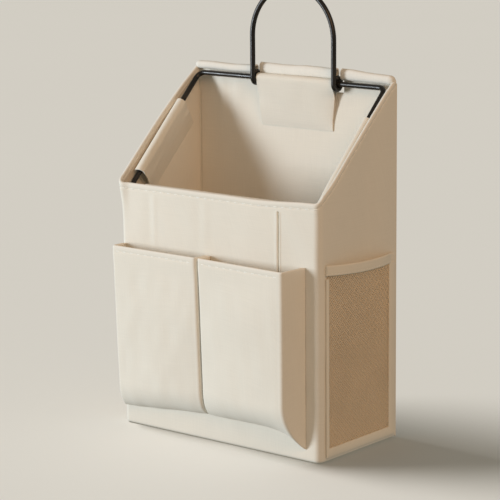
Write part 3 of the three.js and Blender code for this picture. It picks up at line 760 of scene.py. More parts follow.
@dataclass
class CanvasBox:
    """The sewn box: three walls as one shell with a folded rim, the back, the bottom and the stiffening board."""

    half_width: float = HALF_WIDTH
    half_depth: float = HALF_DEPTH
    front_height: float = 236.0
    back_height: float = 341.0
    corner: float = 7.0
    wall: float = WALL
    rim: float = 3.5
    rim_height: float = 9.0
    stitch_drop: float = 5.4
    back_edge: float = 334.9
    slots: tuple[float, float] = (-40.5, 56.5)
    slot_half: float = 3.3
    slot_foot: float = 322.0
    tuck_x: float = 73.0
    tuck_top: float = 227.5
    tuck_length: float = 112.0
    corner_lift: float = 2.6
    side_lifts: tuple[float, float] = (2.2, 1.4)
    lean: float = 3.2
    tuck_half: float = 0.85
    tuck_depth: float = 1.9
    tuck_lips: Bells = ((-2.3, 1.2, 0.34), (1.9, 0.75, 0.42))
    ridges: Bells = ((-76.6, 3.6, 0.42), (-13.9, 5.2, 0.32))
    hollows: Bells = ((-83.0, 5.0, 0.3), (-22.0, 6.0, 0.25))
    folds: Bells = ((-88, 7, -0.9), (-101, 5, 0.7), (-69, 8, -0.6), (-78, 5, 0.5), (84, 9, 0.5), (68, 7, -0.5))
    seam_depth: float = 1.2
    seam_half: float = 0.8
    seam_inset: float = 1.0
    seam_heights: tuple[float, float] = (318.0, 306.0)
    flare_depth: float = 22.0
    stitch_pinch: float = 0.42
    rim_swell: float = 0.16
    hollow_depth: float = 0.9
    tuck_under: float = 2.3
    thinnest: float = 0.25
    back_foot: float = 0.4
    back_round: float = 1.6

    def mouth(self, y: Array) -> Array:
        """Height of the slanted mouth: a straight line from the front height to the back height."""
        share = (y + self.half_depth) / (2 * self.half_depth)
        return self.front_height + (self.back_height - self.front_height) * share

    def lift(self, x: Array, y: Array) -> Array:
        """How far the cloth stands above that line: towards the right end of the front, and on both sides."""
        front = self.corner_lift * ease(x, 35.0, self.half_width - 2)
        right = front * ease(y, -36.0, -57.0) + self.side_lifts[1] * ease(y, -40.0, 5.0) * ease(y, 57.0, 38.0)
        left = self.side_lifts[0] * ease(y, -self.half_depth, -15.0) * ease(y, self.half_depth, 30.0)
        return np.where(x > 0, right, left)

    def flare(self, x: Array, y: Array, drop: Array) -> Array:
        """How far the left wall leans out at the mouth: fading down as exp(-(drop / depth)^2) and towards the back."""
        fading = np.exp(-((drop / self.flare_depth) ** 2))
        return self.lean * ease(x, -108.0, -118.0) * ease(y, self.half_depth, 0.0) * fading

    def contour(self) -> tuple[Array, Array]:
        """Plan of the three walls from back left round the front to back right: straights and quarter circles.

        Returns:
            Points and outward directions, each (stations, 2).
        """
        w, d, r = self.half_width, self.half_depth, self.corner
        side_y = np.unique(np.concatenate([np.linspace(-d + r, d - 2.3, 34), d - 2.3 - np.array([0.5, 1.2, 2.2])]))
        wanted = [np.linspace(-w + r, w - r, 84), self.tuck_x + np.linspace(-3.2, 3.2, 41)]
        wanted += [x + np.linspace(-2.5, 2.5, 13) * width for x, width, _ in self.ridges]
        front_x = np.unique(np.concatenate(wanted).round(3))[1:-1]
        turn = np.linspace(0, math.pi / 2, 12)
        bend = np.stack([-np.cos(turn), -np.sin(turn)], -1)
        left = np.stack([np.full_like(side_y, -w), side_y], -1)[::-1][:-1]
        left_bend = np.array([-w + r, -d + r]) + r * bend
        front = np.stack([front_x, np.full_like(front_x, -d)], -1)
        points = np.concatenate([left, left_bend, front])
        out = np.concatenate([np.tile([-1.0, 0.0], (len(left), 1)), bend, np.tile([0.0, -1.0], (len(front), 1))])
        tail_points = np.concatenate([left, left_bend])[::-1] * (-1, 1)
        tail_out = np.concatenate([np.tile([-1.0, 0.0], (len(left), 1)), bend])[::-1] * (-1, 1)
        return np.concatenate([points, tail_points]), np.concatenate([out, tail_out])

    def relief(self, x: Array, y: Array, z: Array, drop: Array) -> Array:
        """How far the walls stand out: rounded ridges down the front, a pinch at the stitches, a slow unevenness.

        Args:
            x: Places in plan.
            y: Places in plan.
            z: Heights.
            drop: Distances below the rim.

        Returns:
            Distance outwards at each place.
        """
        is_front = ease(y, -self.half_depth + 3, -self.half_depth + 0.5)
        fall = ease(drop, 5.5, 13.0) * ease(z, 150, 205)
        out = bells(x, self.ridges) * fall
        for at, width, depth in self.hollows:
            out = out - depth * bell(x, at, width) * fall
        pinch = -self.stitch_pinch * bell(drop, self.stitch_drop, 0.9) + self.rim_swell * bell(drop, 2.6, 1.6)
        slow = 0.34 * ripple(x + 1.3 * y, z * 0.55, 11, 90.0) + 0.16 * ripple(x + y, z * 0.7, 12, 30.0)
        settle = ease(z, 2.0, 22.0) * ease(drop, 2.0, 14.0)
        hollow = -self.hollow_depth * (1 - is_front) * bell(y, 0.0, 34.0) * ease(z, 30, 120) * ease(drop, 6, 60)
        return is_front * out + pinch + (slow + hollow) * settle + self.flare(x, y, drop)

    def tuck(self, x: Array, y: Array, z: Array) -> Array:
        """The sewn tuck: a narrow trench that closes towards its foot, with a raised lip on each side."""
        below = (self.tuck_top - z) / self.tuck_length
        inside = ease(below, -0.004, 0.006) * ease(below, 1.0, 0.93)
        width = self.tuck_half * (1 - 0.5 * np.clip(below, 0, 1))
        across = (x - self.tuck_x) / width
        trench = -self.tuck_depth * (1 - ease(np.abs(across), 0.8, 1.2)) * inside
        lip = bells(x - self.tuck_x, self.tuck_lips) * inside
        return (trench + lip) * ease(y, -self.half_depth + 3, -self.half_depth + 0.5)

    def walls(self) -> Skin:
        """The shell of the three walls: the plan's contour at each height, folded over at the mouth."""
        plan, out = self.contour()
        top = (self.mouth(plan[:, 1]) + self.lift(plan[:, 0], plan[:, 1]))[None]
        top = top + 0.35 * ripple(plan[:, 0], plan[:, 1], 3, 70.0)[None] * ease(plan[:, 1], 30, 0)[None]
        foot = np.array([0.35, 0.5, 0.9, 1.5, 2.2, 3.0])
        drops = np.array([14.0, 12.4, 11.0, 10.0, 9.5, 9.05, 8.4, 7.6, 6.9,
                          6.3, 5.8, 5.4, 5.0, 4.5, 3.9, 3.2, 2.5, 1.75])
        share = np.linspace(0, 1, 66)[1:-1, None]
        rows_foot = np.broadcast_to(foot[:, None], (len(foot), len(plan)))
        rows_wall = foot[-1] + (top - drops[0] - foot[-1]) * share
        rows_rim = top - drops[:, None]
        z = np.concatenate([rows_foot, rows_wall, rows_rim])
        drop = top - z
        x, y = plan[None, :, 0] + 0 * z, plan[None, :, 1] + 0 * z
        tucked_under = -self.tuck_under * (1 - np.sqrt(np.clip(1 - ((3.0 - np.minimum(z, 3.0)) / 2.9) ** 2, 0, 1)))
        shared = self.relief(x, y, z, drop) + tucked_under
        outward = np.concatenate([np.broadcast_to(out, (len(z), *out.shape)), np.zeros((*z.shape, 1))], -1)
        base = np.stack([x, y, z], -1)
        outer = base + outward * (shared + self.tuck(x, y, z))[..., None]
        ply = self.wall + (self.rim - self.wall) * ease(drop, self.rim_height + 0.5, self.rim_height)
        ply = ply + self.tuck(x, y, z) * ease(drop, 5.0, 8.0)
        grid = folded_over(outer, outward, np.maximum(ply, self.thinnest))
        # Paler band painted at the rim's fold and just below it, fading inside: scuffing plus a painted highlight on
        # the lit edge.
        rim_scuff_and_highlight = np.exp(-np.concatenate([drop, 0 * drop[:FOLD_STEPS], 9 + drop[::-1]]) / 2.2)
        return Skin.from_grid(grid, round_rows=True, scuff_and_highlight=rim_scuff_and_highlight, capped=True)

    def back(self) -> Skin:
        """The back panel: a sheet between two faces, with rounded edges and a slot for each of the bail's eyes."""
        edge = np.array([0.0, 0.15, 0.6, 1.3, 2.2])
        both = np.concatenate([-edge, edge])
        sides = np.concatenate([np.array(self.slots) - self.slot_half, np.array(self.slots) + self.slot_half])
        near = (sides[:, None] + both).ravel()
        spread = np.linspace(6 - self.half_width, self.half_width - 6, 110)
        spread = spread[np.min(np.abs(spread[:, None] - near), axis=1) > 0.7]
        seam_x = self.half_width - self.wall - self.seam_inset
        seams = seam_x + np.linspace(-1.4, 1.0, 7)
        left_x, right_x = [edge - self.half_width, -seams], [seams, self.half_width - edge]
        x = np.unique(np.concatenate([*left_x, spread, near, *right_x]).round(4))
        z = np.concatenate([self.back_foot + edge, np.linspace(6, self.slot_foot - 5, 90), self.slot_foot + both,
                            [self.slot_foot + 5.5], self.back_edge - edge])
        z = np.unique(z.round(4))
        gx, gz = np.meshgrid(x, z)
        reach = np.minimum(np.minimum(self.half_width - np.abs(gx), gz - self.back_foot), self.back_edge - gz)
        for at in self.slots:
            aside = np.maximum(np.abs(gx - at) - self.slot_half, 0)
            reach = np.minimum(reach, np.hypot(aside, np.maximum(self.slot_foot - gz, 0)))
        half = (self.wall / 2) * np.sqrt(np.clip(1 - (1 - np.clip(reach / self.back_round, 0, 1)) ** 2, 0.02, 1))
        hang = ease(gz, 235, 318) * ease(gz, self.back_edge, self.back_edge - 8)
        folds = bells(gx, self.folds)
        slow = 0.35 * ripple(gx, gz, 21, 95.0) + 0.1 * ripple(gx, gz, 22, 30.0)
        inside = ease(reach, 0.5, 14.0)
        middle = self.half_depth - self.wall / 2 + inside * (np.minimum(folds * hang, 0.75) * 0.75 + slow * 0.5)
        middle = np.minimum(middle, self.half_depth - self.wall / 2)
        seam = self.seam_depth * bell(np.abs(gx), seam_x, self.seam_half) * ease(gz, *self.seam_heights)
        front_face = np.stack([gx, middle - half + seam, gz], -1)
        back_face = np.stack([gx, np.minimum(middle + half, self.half_depth), gz], -1)
        row = int(np.argmin(np.abs(z - self.slot_foot)))
        a, b, c, d = (int(np.argmin(np.abs(x - at))) for at in np.sort(sides))
        i, j = np.meshgrid(np.arange(len(z) - 1), np.arange(len(x) - 1), indexing="ij")
        kept = ~((i >= row) & (((j >= a) & (j < b)) | ((j >= c) & (j < d)))).ravel()
        skins = [Skin.from_grid(front_face), Skin.from_grid(back_face)]
        for skin in skins:
            skin.faces, skin.cloth = skin.faces[kept], skin.cloth[kept]
        top, last = len(z) - 1, len(x) - 1
        turns = [(0, 0), (0, last), (top, last), (top, d), (row, d), (row, c), (top, c), (top, b), (row, b),
                 (row, a), (top, a), (top, 0), (0, 0)]
        legs = [np.linspace(p, q, max(abs(q[0] - p[0]), abs(q[1] - p[1])) + 1).round().astype(int)[:-1]
                for p, q in zip(turns, turns[1:])]
        way = np.concatenate(legs)
        border = np.stack([front_face[way[:, 0], way[:, 1]], back_face[way[:, 0], way[:, 1]]], 0)
        return Skin.joined([*skins, Skin.from_grid(border, round_columns=True)])

    def bottom(self) -> Skin:
        """The bottom: rings of the rounded plan from the middle out, round the edge and back over the top."""
        w, d, r = self.half_width - 1.2, self.half_depth - 1.2, self.corner
        corners = [(w - r, d - r, 0), (-w + r, d - r, 90), (-w + r, -d + r, 180), (w - r, -d + r, 270)]
        bends = [arc(np.array([x, y]), X[:2], Y[:2], r, math.radians(a),
                     math.radians(a + 90), 9) for x, y, a in corners]
        outline = resampled(np.concatenate([*bends, bends[0][:1]]), 241)[:-1]
        shares = np.array([0.0, 0.25, 0.5, 0.7, 0.85, 0.95])
        turn = np.linspace(-90, 90, 9)
        half = self.wall / 2
        edge = [(1 - (1.0 - math.cos(math.radians(t))) / 60, half + half * math.sin(math.radians(t))) for t in turn]
        rows = [(s, 0.0) for s in shares] + edge + [(s, self.wall) for s in shares[::-1]]
        grid = np.stack([np.column_stack([outline * s, np.full(len(outline), h)]) for s, h in rows])
        sag = 0.25 * ripple(grid[..., 0], grid[..., 1], 31, 60.0) * (grid[..., 2] > 1.0)
        grid[..., 2] += sag * ease(np.abs(grid[..., 0]), w, w - 20)
        skin = Skin.from_grid(grid, round_columns=True)
        skin.cloth = skin.points[skin.faces][..., :2]
        return skin

    def build(self, finishes: Finishes) -> None:
        """Adds the shell, the back, the bottom, the rim's stitches and the board's finish."""
        put("canvas_walls", self.walls(), finishes.canvas,
            ["front_panel", "left_side_panel", "right_side_panel", "front_hem", "left_hem", "right_hem"])
        put("canvas_back", self.back(), finishes.canvas, ["back_panel"])
        put("canvas_bottom", self.bottom(), finishes.canvas, ["bottom_panel"])
        plan, out = self.contour()
        top = self.mouth(plan[:, 1]) + self.lift(plan[:, 0], plan[:, 1]) - self.stitch_drop
        stand = self.flare(plan[:, 0], plan[:, 1], np.full(len(plan), self.stitch_drop)) - 0.16
        line = np.column_stack([plan + out * stand[:, None], top])
        put("rim_stitches", Stitching().row(line, np.column_stack([out, 0 * top])), finishes.thread)
        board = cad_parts["base_board"]
        board.data.materials.clear()
        board.data.materials.append(finishes.board)
        bevel = board.modifiers.new("Worn edge", "BEVEL")
        bevel.width, bevel.segments = 0.4 * MM, 2


@dataclass
class BackRolls:
    """The rolled rim of the back in three parts, open beside the bail's legs and closed at the box's corners."""

    middle_y: float = 55.35
    half_deep: float = 3.55
    low: float = 334.1
    left_high: float = 341.6
    high: float = 344.8
    corner_high: float = 342.4
    ply: float = 1.2
    corner_x: float = 119.7
    notches: tuple[float, float, float, float] = (-43.8, -37.2, 53.2, 59.8)
    sides: int = 30
    corner_length: float = 6.0
    lip_length: float = 5.0
    lip_swell: float = 0.05
    cup_end: float = 2.0

    def tops(self, x: Array) -> Array:
        """Height of the rolls' top along the back: low at the left, high in the middle, falling to the right corner."""
        high = self.left_high + (self.high - self.left_high) * (x > (self.notches[0] + self.notches[1]) / 2)
        return high + (self.corner_high - self.high) * ease(x, 62.0, self.corner_x - 8)

    def section(self, x: Array, inset: float) -> Array:
        """Outline of the roll at each x: a superellipse, (a |cos|^0.9, b |sin|^0.85) with their signs."""
        turn = np.linspace(0, 2 * math.pi, self.sides, endpoint=False)
        cos, sin = np.cos(turn)[None], np.sin(turn)[None]
        half_high = (self.tops(x)[:, None] - self.low) / 2 - inset
        y = np.sign(cos) * np.abs(cos) ** 0.9 * (self.half_deep - inset) * (1 + 0.06 * sin) + 0 * half_high
        return np.stack([y, np.sign(sin) * np.abs(sin) ** 0.85 * half_high], -1)

    def length(self, start: float, end: float, closed: bool) -> Skin:
        """One roll from its open end at start to end, which is open too or drawn together round the corner.

        Args:
            start: X of the open end.
            end: X of the other end.
            closed: Whether that end is closed.

        Returns:
            The roll: the bore from its far end to the open lip, then the outside back again.
        """
        way = math.copysign(1.0, end - start)
        span = abs(end - start)
        bend, lip_length = self.corner_length, self.lip_length
        at = np.linspace(0, span, 44)
        shrink = np.ones_like(at)
        if closed:
            at = np.concatenate([np.linspace(0, span - bend, 34),
                                 span - bend * np.cos(np.linspace(0, math.pi / 2, 12)[1:])])
            shrink = np.sqrt(np.clip(1 - np.clip((at - (span - bend)) / bend, 0, 1) ** 2, 0, 1))
        far_lip = 0 if closed else np.clip(1 - (span - at) / lip_length, 0, 1) ** 2
        lip = np.clip(1 - at / lip_length, 0, 1) ** 2 + far_lip

        def surface(inset: float) -> Array:
            """The roll's skin at a depth: its section along X, with a soft sag, puckers and flared lips."""
            x = start + way * at
            section = self.section(x, inset) * (shrink * (1 + self.lip_swell * lip))[:, None, None]
            uneven = 0.28 * ripple(x[:, None], 8 * np.sin(np.linspace(0, 2 * math.pi, self.sides)), 41, 24.0)
            section = section * (1 + 0.09 * uneven[..., None])
            middle_z = (self.low + self.tops(x)) / 2 + 0.25 * ripple(x, 0 * x, 42, 45.0)
            centres = np.column_stack([x, np.full_like(x, self.middle_y), middle_z])
            return swept(centres, Y, Z, section)

        outside, bore = surface(0.0), surface(self.ply)
        if not closed:
            grid = np.concatenate([bore, outside[::-1]])
            return Skin.from_grid(grid, round_rows=True, round_columns=True)
        kept = at < span - self.cup_end
        cup = bore[kept][::-1]
        pole = np.repeat(cup[:1].mean(axis=1, keepdims=True), self.sides, axis=1)
        tip = np.repeat(outside[-1:].mean(axis=1, keepdims=True), self.sides, axis=1)
        return Skin.from_grid(np.concatenate([pole, cup, outside[:-1], tip]), round_columns=True)

    def build(self, finishes: Finishes) -> None:
        """Adds the three rolls."""
        a, b, c, d = self.notches
        put("rolled_rim_left", self.length(a, -self.corner_x, True), finishes.rim, ["back_hem_left"])
        put("rolled_rim_centre", self.length(b, c, False), finishes.rim, ["back_hem_centre"])
        put("rolled_rim_right", self.length(d, self.corner_x, True), finishes.rim, ["back_hem_right"])


@dataclass
class Wirework:
    """The hoop in the mouth and the bail that swings on its rear bar."""

    radius: float = 2.5
    rear: tuple[float, float] = (51.2, 330.7)
    front: tuple[float, float] = (-51.2, 231.5)
    side_x: float = 112.2
    hoop_corner: float = 7.0
    bail_x: float = 8.0
    leg: float = 48.5
    rise: float = 89.0
    eye: float = 5.3
    eye_turn: float = 0.78
    sides: int = 20

    def tube(self, line: Array, closed: bool) -> Skin:
        """A round wire along a line: rings square to it, carried on without twisting, with rounded ends.

        Each ring's first direction is the last one's with its part along the wire taken out.

        Args:
            line: Points of the centre line, (points, 3).
            closed: Whether the line is a loop.

        Returns:
            The wire.
        """
        ahead, behind = np.roll(line, -1, axis=0), np.roll(line, 1, axis=0)
        if not closed:
            ahead[-1], behind[0] = line[-1], line[0]
        tangent = unit(ahead - behind)
        first = np.empty_like(line)
        start = np.cross(tangent[0], (1.0, 0.0, 0.0))
        guess = start if np.linalg.norm(start) > 0.1 else np.cross(tangent[0], (0.0, 0.0, 1.0))
        for k, along in enumerate(tangent):
            guess = guess - along * (guess @ along)
            guess = guess / np.linalg.norm(guess)
            first[k] = guess
        second = np.cross(tangent, first)
        radius = np.full(len(line), self.radius)
        if not closed:
            turn = np.linspace(0, math.pi / 2, 6)
            caps = [(line[0] - tangent[0] * self.radius * np.sin(t), t, 0) for t in turn[:0:-1]]
            ends = [(line[-1] + tangent[-1] * self.radius * np.sin(t), t, -1) for t in turn[1:]]
            line = np.concatenate([[c[0] for c in caps], line, [c[0] for c in ends]])
            shrink = [self.radius * max(math.cos(t), 1e-6) for _, t, _ in caps]
            grow = [self.radius * max(math.cos(t), 1e-6) for _, t, _ in ends]
            radius = np.concatenate([shrink, radius, grow])
            first = np.concatenate([np.tile(first[0], (5, 1)), first, np.tile(first[-1], (5, 1))])
            second = np.concatenate([np.tile(second[0], (5, 1)), second, np.tile(second[-1], (5, 1))])
        section = ring(1.0, self.sides)[None] * radius[:, None, None]
        return Skin.from_grid(swept(line, first, second, section), round_rows=closed, round_columns=True)

    def hoop(self) -> Array:
        """Centre line of the hoop: four straight bars and four quarter circles in the slanted plane."""
        rear, front = np.array([0, *self.rear]), np.array([0, *self.front])
        slant, across = unit(rear - front), X
        centre, half = (rear + front) / 2, np.linalg.norm(rear - front) / 2
        bends = [
            arc(centre + across * sx * (self.side_x - self.hoop_corner) + slant * sy * (half - self.hoop_corner),
                across, slant, self.hoop_corner, k * math.pi / 2, (k + 1) * math.pi / 2, 14)
            for k, (sx, sy) in enumerate([(1, 1), (-1, 1), (-1, -1), (1, -1)])
        ]
        return resampled(np.concatenate([*bends, bends[0][:1]]), 321)[:-1]

    def bail(self) -> Array:
        """Centre line of the bail: an eye curled round the rear bar, a leg, the arch, and the same again."""
        y, z = self.rear

        def eye(x: float) -> Array:
            """Points of one eye, from the leg down round the bar."""
            end = math.pi + self.eye_turn * 2 * math.pi
            return arc(np.array([x, y, z]), Y, Z, self.eye, math.pi, end, 30)

        arch_centre = np.array([self.bail_x, y - self.eye, z + self.rise - self.leg])
        arch = arc(arch_centre, X, Z, self.leg, math.pi, 0, 64)
        left, right = eye(self.bail_x - self.leg)[::-1], eye(self.bail_x + self.leg)
        up = run(left[-1], arch[0], 16)[1:]
        down = run(arch[-1], right[0], 16)[1:]
        return np.concatenate([left, up, arch, down, right])

    def build(self, finishes: Finishes) -> None:
        """Adds the hoop and the bail."""
        put("wire_hoop", self.tube(self.hoop(), True), finishes.wire, ["frame_hoop"], sharp=80)
        put("wire_bail", self.tube(self.bail(), False), finishes.wire, ["hanger_bail"],
            body=Body.BAIL, sharp=80)


@dataclass
class WireSleeves:
    """Loops of cloth that hold the hoop: one on each side and in front, and the wide tab at the back."""

    ply: float = 1.2
    bore: float = 2.8
    loose_bore: float = 3.8
    tab_bore: float = 3.3
    gap: float = 0.3
    seam: float = 6.0
    side_drop: tuple[float, float] = (33.0, 22.0)
    front_drop: float = 22.0
    tab_drop: float = 46.0
    half_width: float = HALF_WIDTH
    half_depth: float = HALF_DEPTH
    wall: float = WALL
    side_shares: tuple[tuple[float, float], ...] = ((0.075, 0.76), (-0.05, 0.76))
    side_bellies: tuple[float, float] = (1.0, 0.8)
    side_flares: tuple[float, float] = (2.4, 0.2)
    front_belly: float = 1.6
    tab_belly: float = 0.4
    tab_drawn: float = 5.5
    climb: float = 9.0
    tip_thick: float = 0.5
    front_share: float = 0.88
    tab_x: tuple[float, float] = (-37.2, 53.2)

    def loops(self, wire: float, drop: float, belly: float, bore: float) -> tuple[Array, Array]:
        """Outer and inner outline of a loop of cloth seen end-on, with matching points.

        The wall is the line u = 0, and the wire's centre is at (wire, 0). The outer outline climbs the wall,
        turns over the wire on a circle, and falls along a cubic Bezier curve that swells by the belly to the
        seam, where the cloth thins out to its edge.

        Args:
            wire: Distance of the wire's centre from the wall.
            drop: How far below the wire the cloth ends.
            belly: How far the free side swells.
            bore: Radius inside the turn over the wire.

        Returns:
            Two arrays of shape (points, 2).
        """
        outer_r, far, foot = bore + self.ply, self.gap + 2 * self.ply, drop - self.seam
        reach = np.array([far - wire, -foot])
        lean = math.atan2(reach[1], reach[0]) + math.acos(outer_r / np.linalg.norm(reach))
        lean = min(lean, 0.0) if belly > 1 else lean
        shares = np.linspace(0, 1, 19)[1:-1]

        def outline(radius: float, near: float, far_u: float, seam_end: float, tip: float, tip_u: float) -> Array:
            """One outline: up the wall, over the wire, down the free side, and back across the foot."""
            centre = np.array([wire, 0.0])
            over = arc(centre, X[:2], Y[:2], radius, math.pi, lean, 21)
            turn_off = np.array([wire - radius, -min(self.climb, seam_end / 2)])
            climb = run(np.array([near, -seam_end]), turn_off, 7)
            rise = run(turn_off, over[0], 4)
            end = np.array([far_u, -seam_end])
            t, k = shares[:, None], 0.45 * foot
            first = over[-1] + k * np.array([math.sin(lean), -math.cos(lean)])
            second = end - 0.4 * (end - over[-1]) + np.array([0.8 * belly, 0.0])
            fall = (1 - t) ** 3 * over[-1] + 3 * t * (1 - t) ** 2 * first + 3 * t**2 * (1 - t) * second + t**3 * end
            start = run(np.array([near, -tip]), np.array([near, -seam_end]), 4)
            stop = run(end, np.array([tip_u, -tip]), 4, last=True)
            return np.concatenate([start, climb, rise, over, fall, stop])

        middle = (self.gap + far) / 2
        outer = outline(outer_r, self.gap, far, foot, drop, self.gap + self.tip_thick)
        inner = outline(bore, middle - 0.35, middle + 0.35, foot - 3.0, foot - 2.0, middle + 0.35)
        return outer, inner

    def sleeve(self, line: Array, inward: Array, upward: Array, wire: float, drop: float, belly: float,
               seed: int, bore: float, flare: float = 0.0, drawn: float = 0.0) -> Skin:
        """A loop carried along a bar of the hoop, a little uneven, with its two ends open.

        Args:
            line: Points of the wall beside the wire's centre, (stations, 3).
            inward: Direction from the wall to the wire.
            upward: Direction up the wall, square to the wire.
            wire: Distance of the wire from the wall.
            drop: How far the cloth reaches below the wire.
            belly: How far its free side swells.
            seed: Seed of its unevenness.
            bore: Radius inside the cloth's turn over the wire.
            flare: How much further it swells at its near end.
            drawn: How far the cloth under the wire is drawn back along the bar at its far end.

        Returns:
            The sleeve as a closed skin.
        """
        outer, inner = self.loops(wire, drop, belly, bore)
        count = len(outer)
        travelled = lengths_along(line[None], 1, False)[0]
        free = ease(outer[:, 0], 2.0, wire + 2.0)
        waves = ripple(travelled[:, None], 3.0 * np.arange(count)[None], seed, 34.0)
        ends = np.exp(-travelled / 7) + np.exp(-(travelled[-1] - travelled) / 7)
        push = (0.22 * waves * (1 + 2 * ends[:, None]) + flare * np.exp(-travelled / 9)[:, None]) * free[None]
        last = np.exp(-(travelled[-1] - travelled) / 11)[:, None] * (drawn > 0)
        along = unit(line[-1] - line[0])

        def carried(loop: Array) -> Array:
            """The outline at every station: pushed out on its free side, and drawn in and back at the far end."""
            section = np.broadcast_to(loop, (len(line), *loop.shape)).copy()
            section[..., 0] += push
            below = -section[..., 1]
            section[..., 0] *= 1 - 0.5 * last * ease(below, 2.0, 16.0) * ease(section[..., 0], 1.0, 3.0)
            back = drawn * last * ease(below, 5.0, drop - 4.0)
            return swept(line, inward, upward, section) - back[..., None] * along

        outside, lining = carried(outer), carried(inner)
        grid = np.concatenate([outside, lining[::-1]])
        return Skin.from_grid(grid, round_rows=True, round_columns=True)

    def build(self, finishes: Finishes, wires: Wirework) -> None:
        """Adds the two side sleeves, the front sleeve and the tab."""
        front, rear = np.array([0, *wires.front]), np.array([0, *wires.rear])
        slant = unit(rear - front)
        square = np.array([0, -slant[2], slant[1]])
        straight = np.linalg.norm(rear - front) - 2 * wires.hoop_corner
        wire = self.half_width - self.wall - wires.side_x
        kinds = zip((-1.0, 1.0), ("left", "right"), self.side_shares, self.side_bellies, self.side_flares)
        for index, (side, name, shares, belly, flare) in enumerate(kinds):
            at = wires.hoop_corner + straight * np.linspace(*shares, 52)
            line = front + at[:, None] * slant
            line[:, 0] = side * (self.half_width - self.wall)
            seed = 50 + int(side)
            skin = self.sleeve(line, np.array([-side, 0, 0]), square, wire, self.side_drop[index], belly, seed,
                               (self.loose_bore, self.bore)[index], flare)
            put(f"{name}_sleeve", skin, finishes.canvas, [f"{name}_wire_sleeve"])
        reach = self.front_share * (wires.side_x - wires.hoop_corner)
        panel = -self.half_depth + self.wall
        line = np.column_stack([np.linspace(-reach, reach, 70), np.full(70, panel), np.full(70, front[2])])
        skin = self.sleeve(line, Y, Z, front[1] - panel, self.front_drop,
                           self.front_belly, 53, self.bore)
        put("front_sleeve", skin, finishes.canvas, ["front_wire_sleeve"])
        panel = self.half_depth - self.wall
        line = np.column_stack([np.linspace(*self.tab_x, 60), np.full(60, panel), np.full(60, rear[2])])
        skin = self.sleeve(line, -Y, Z, panel - rear[1], self.tab_drop,
                           self.tab_belly, 54, self.tab_bore, drawn=self.tab_drawn)
        put("tab", skin, finishes.canvas, ["hanging_tab"])


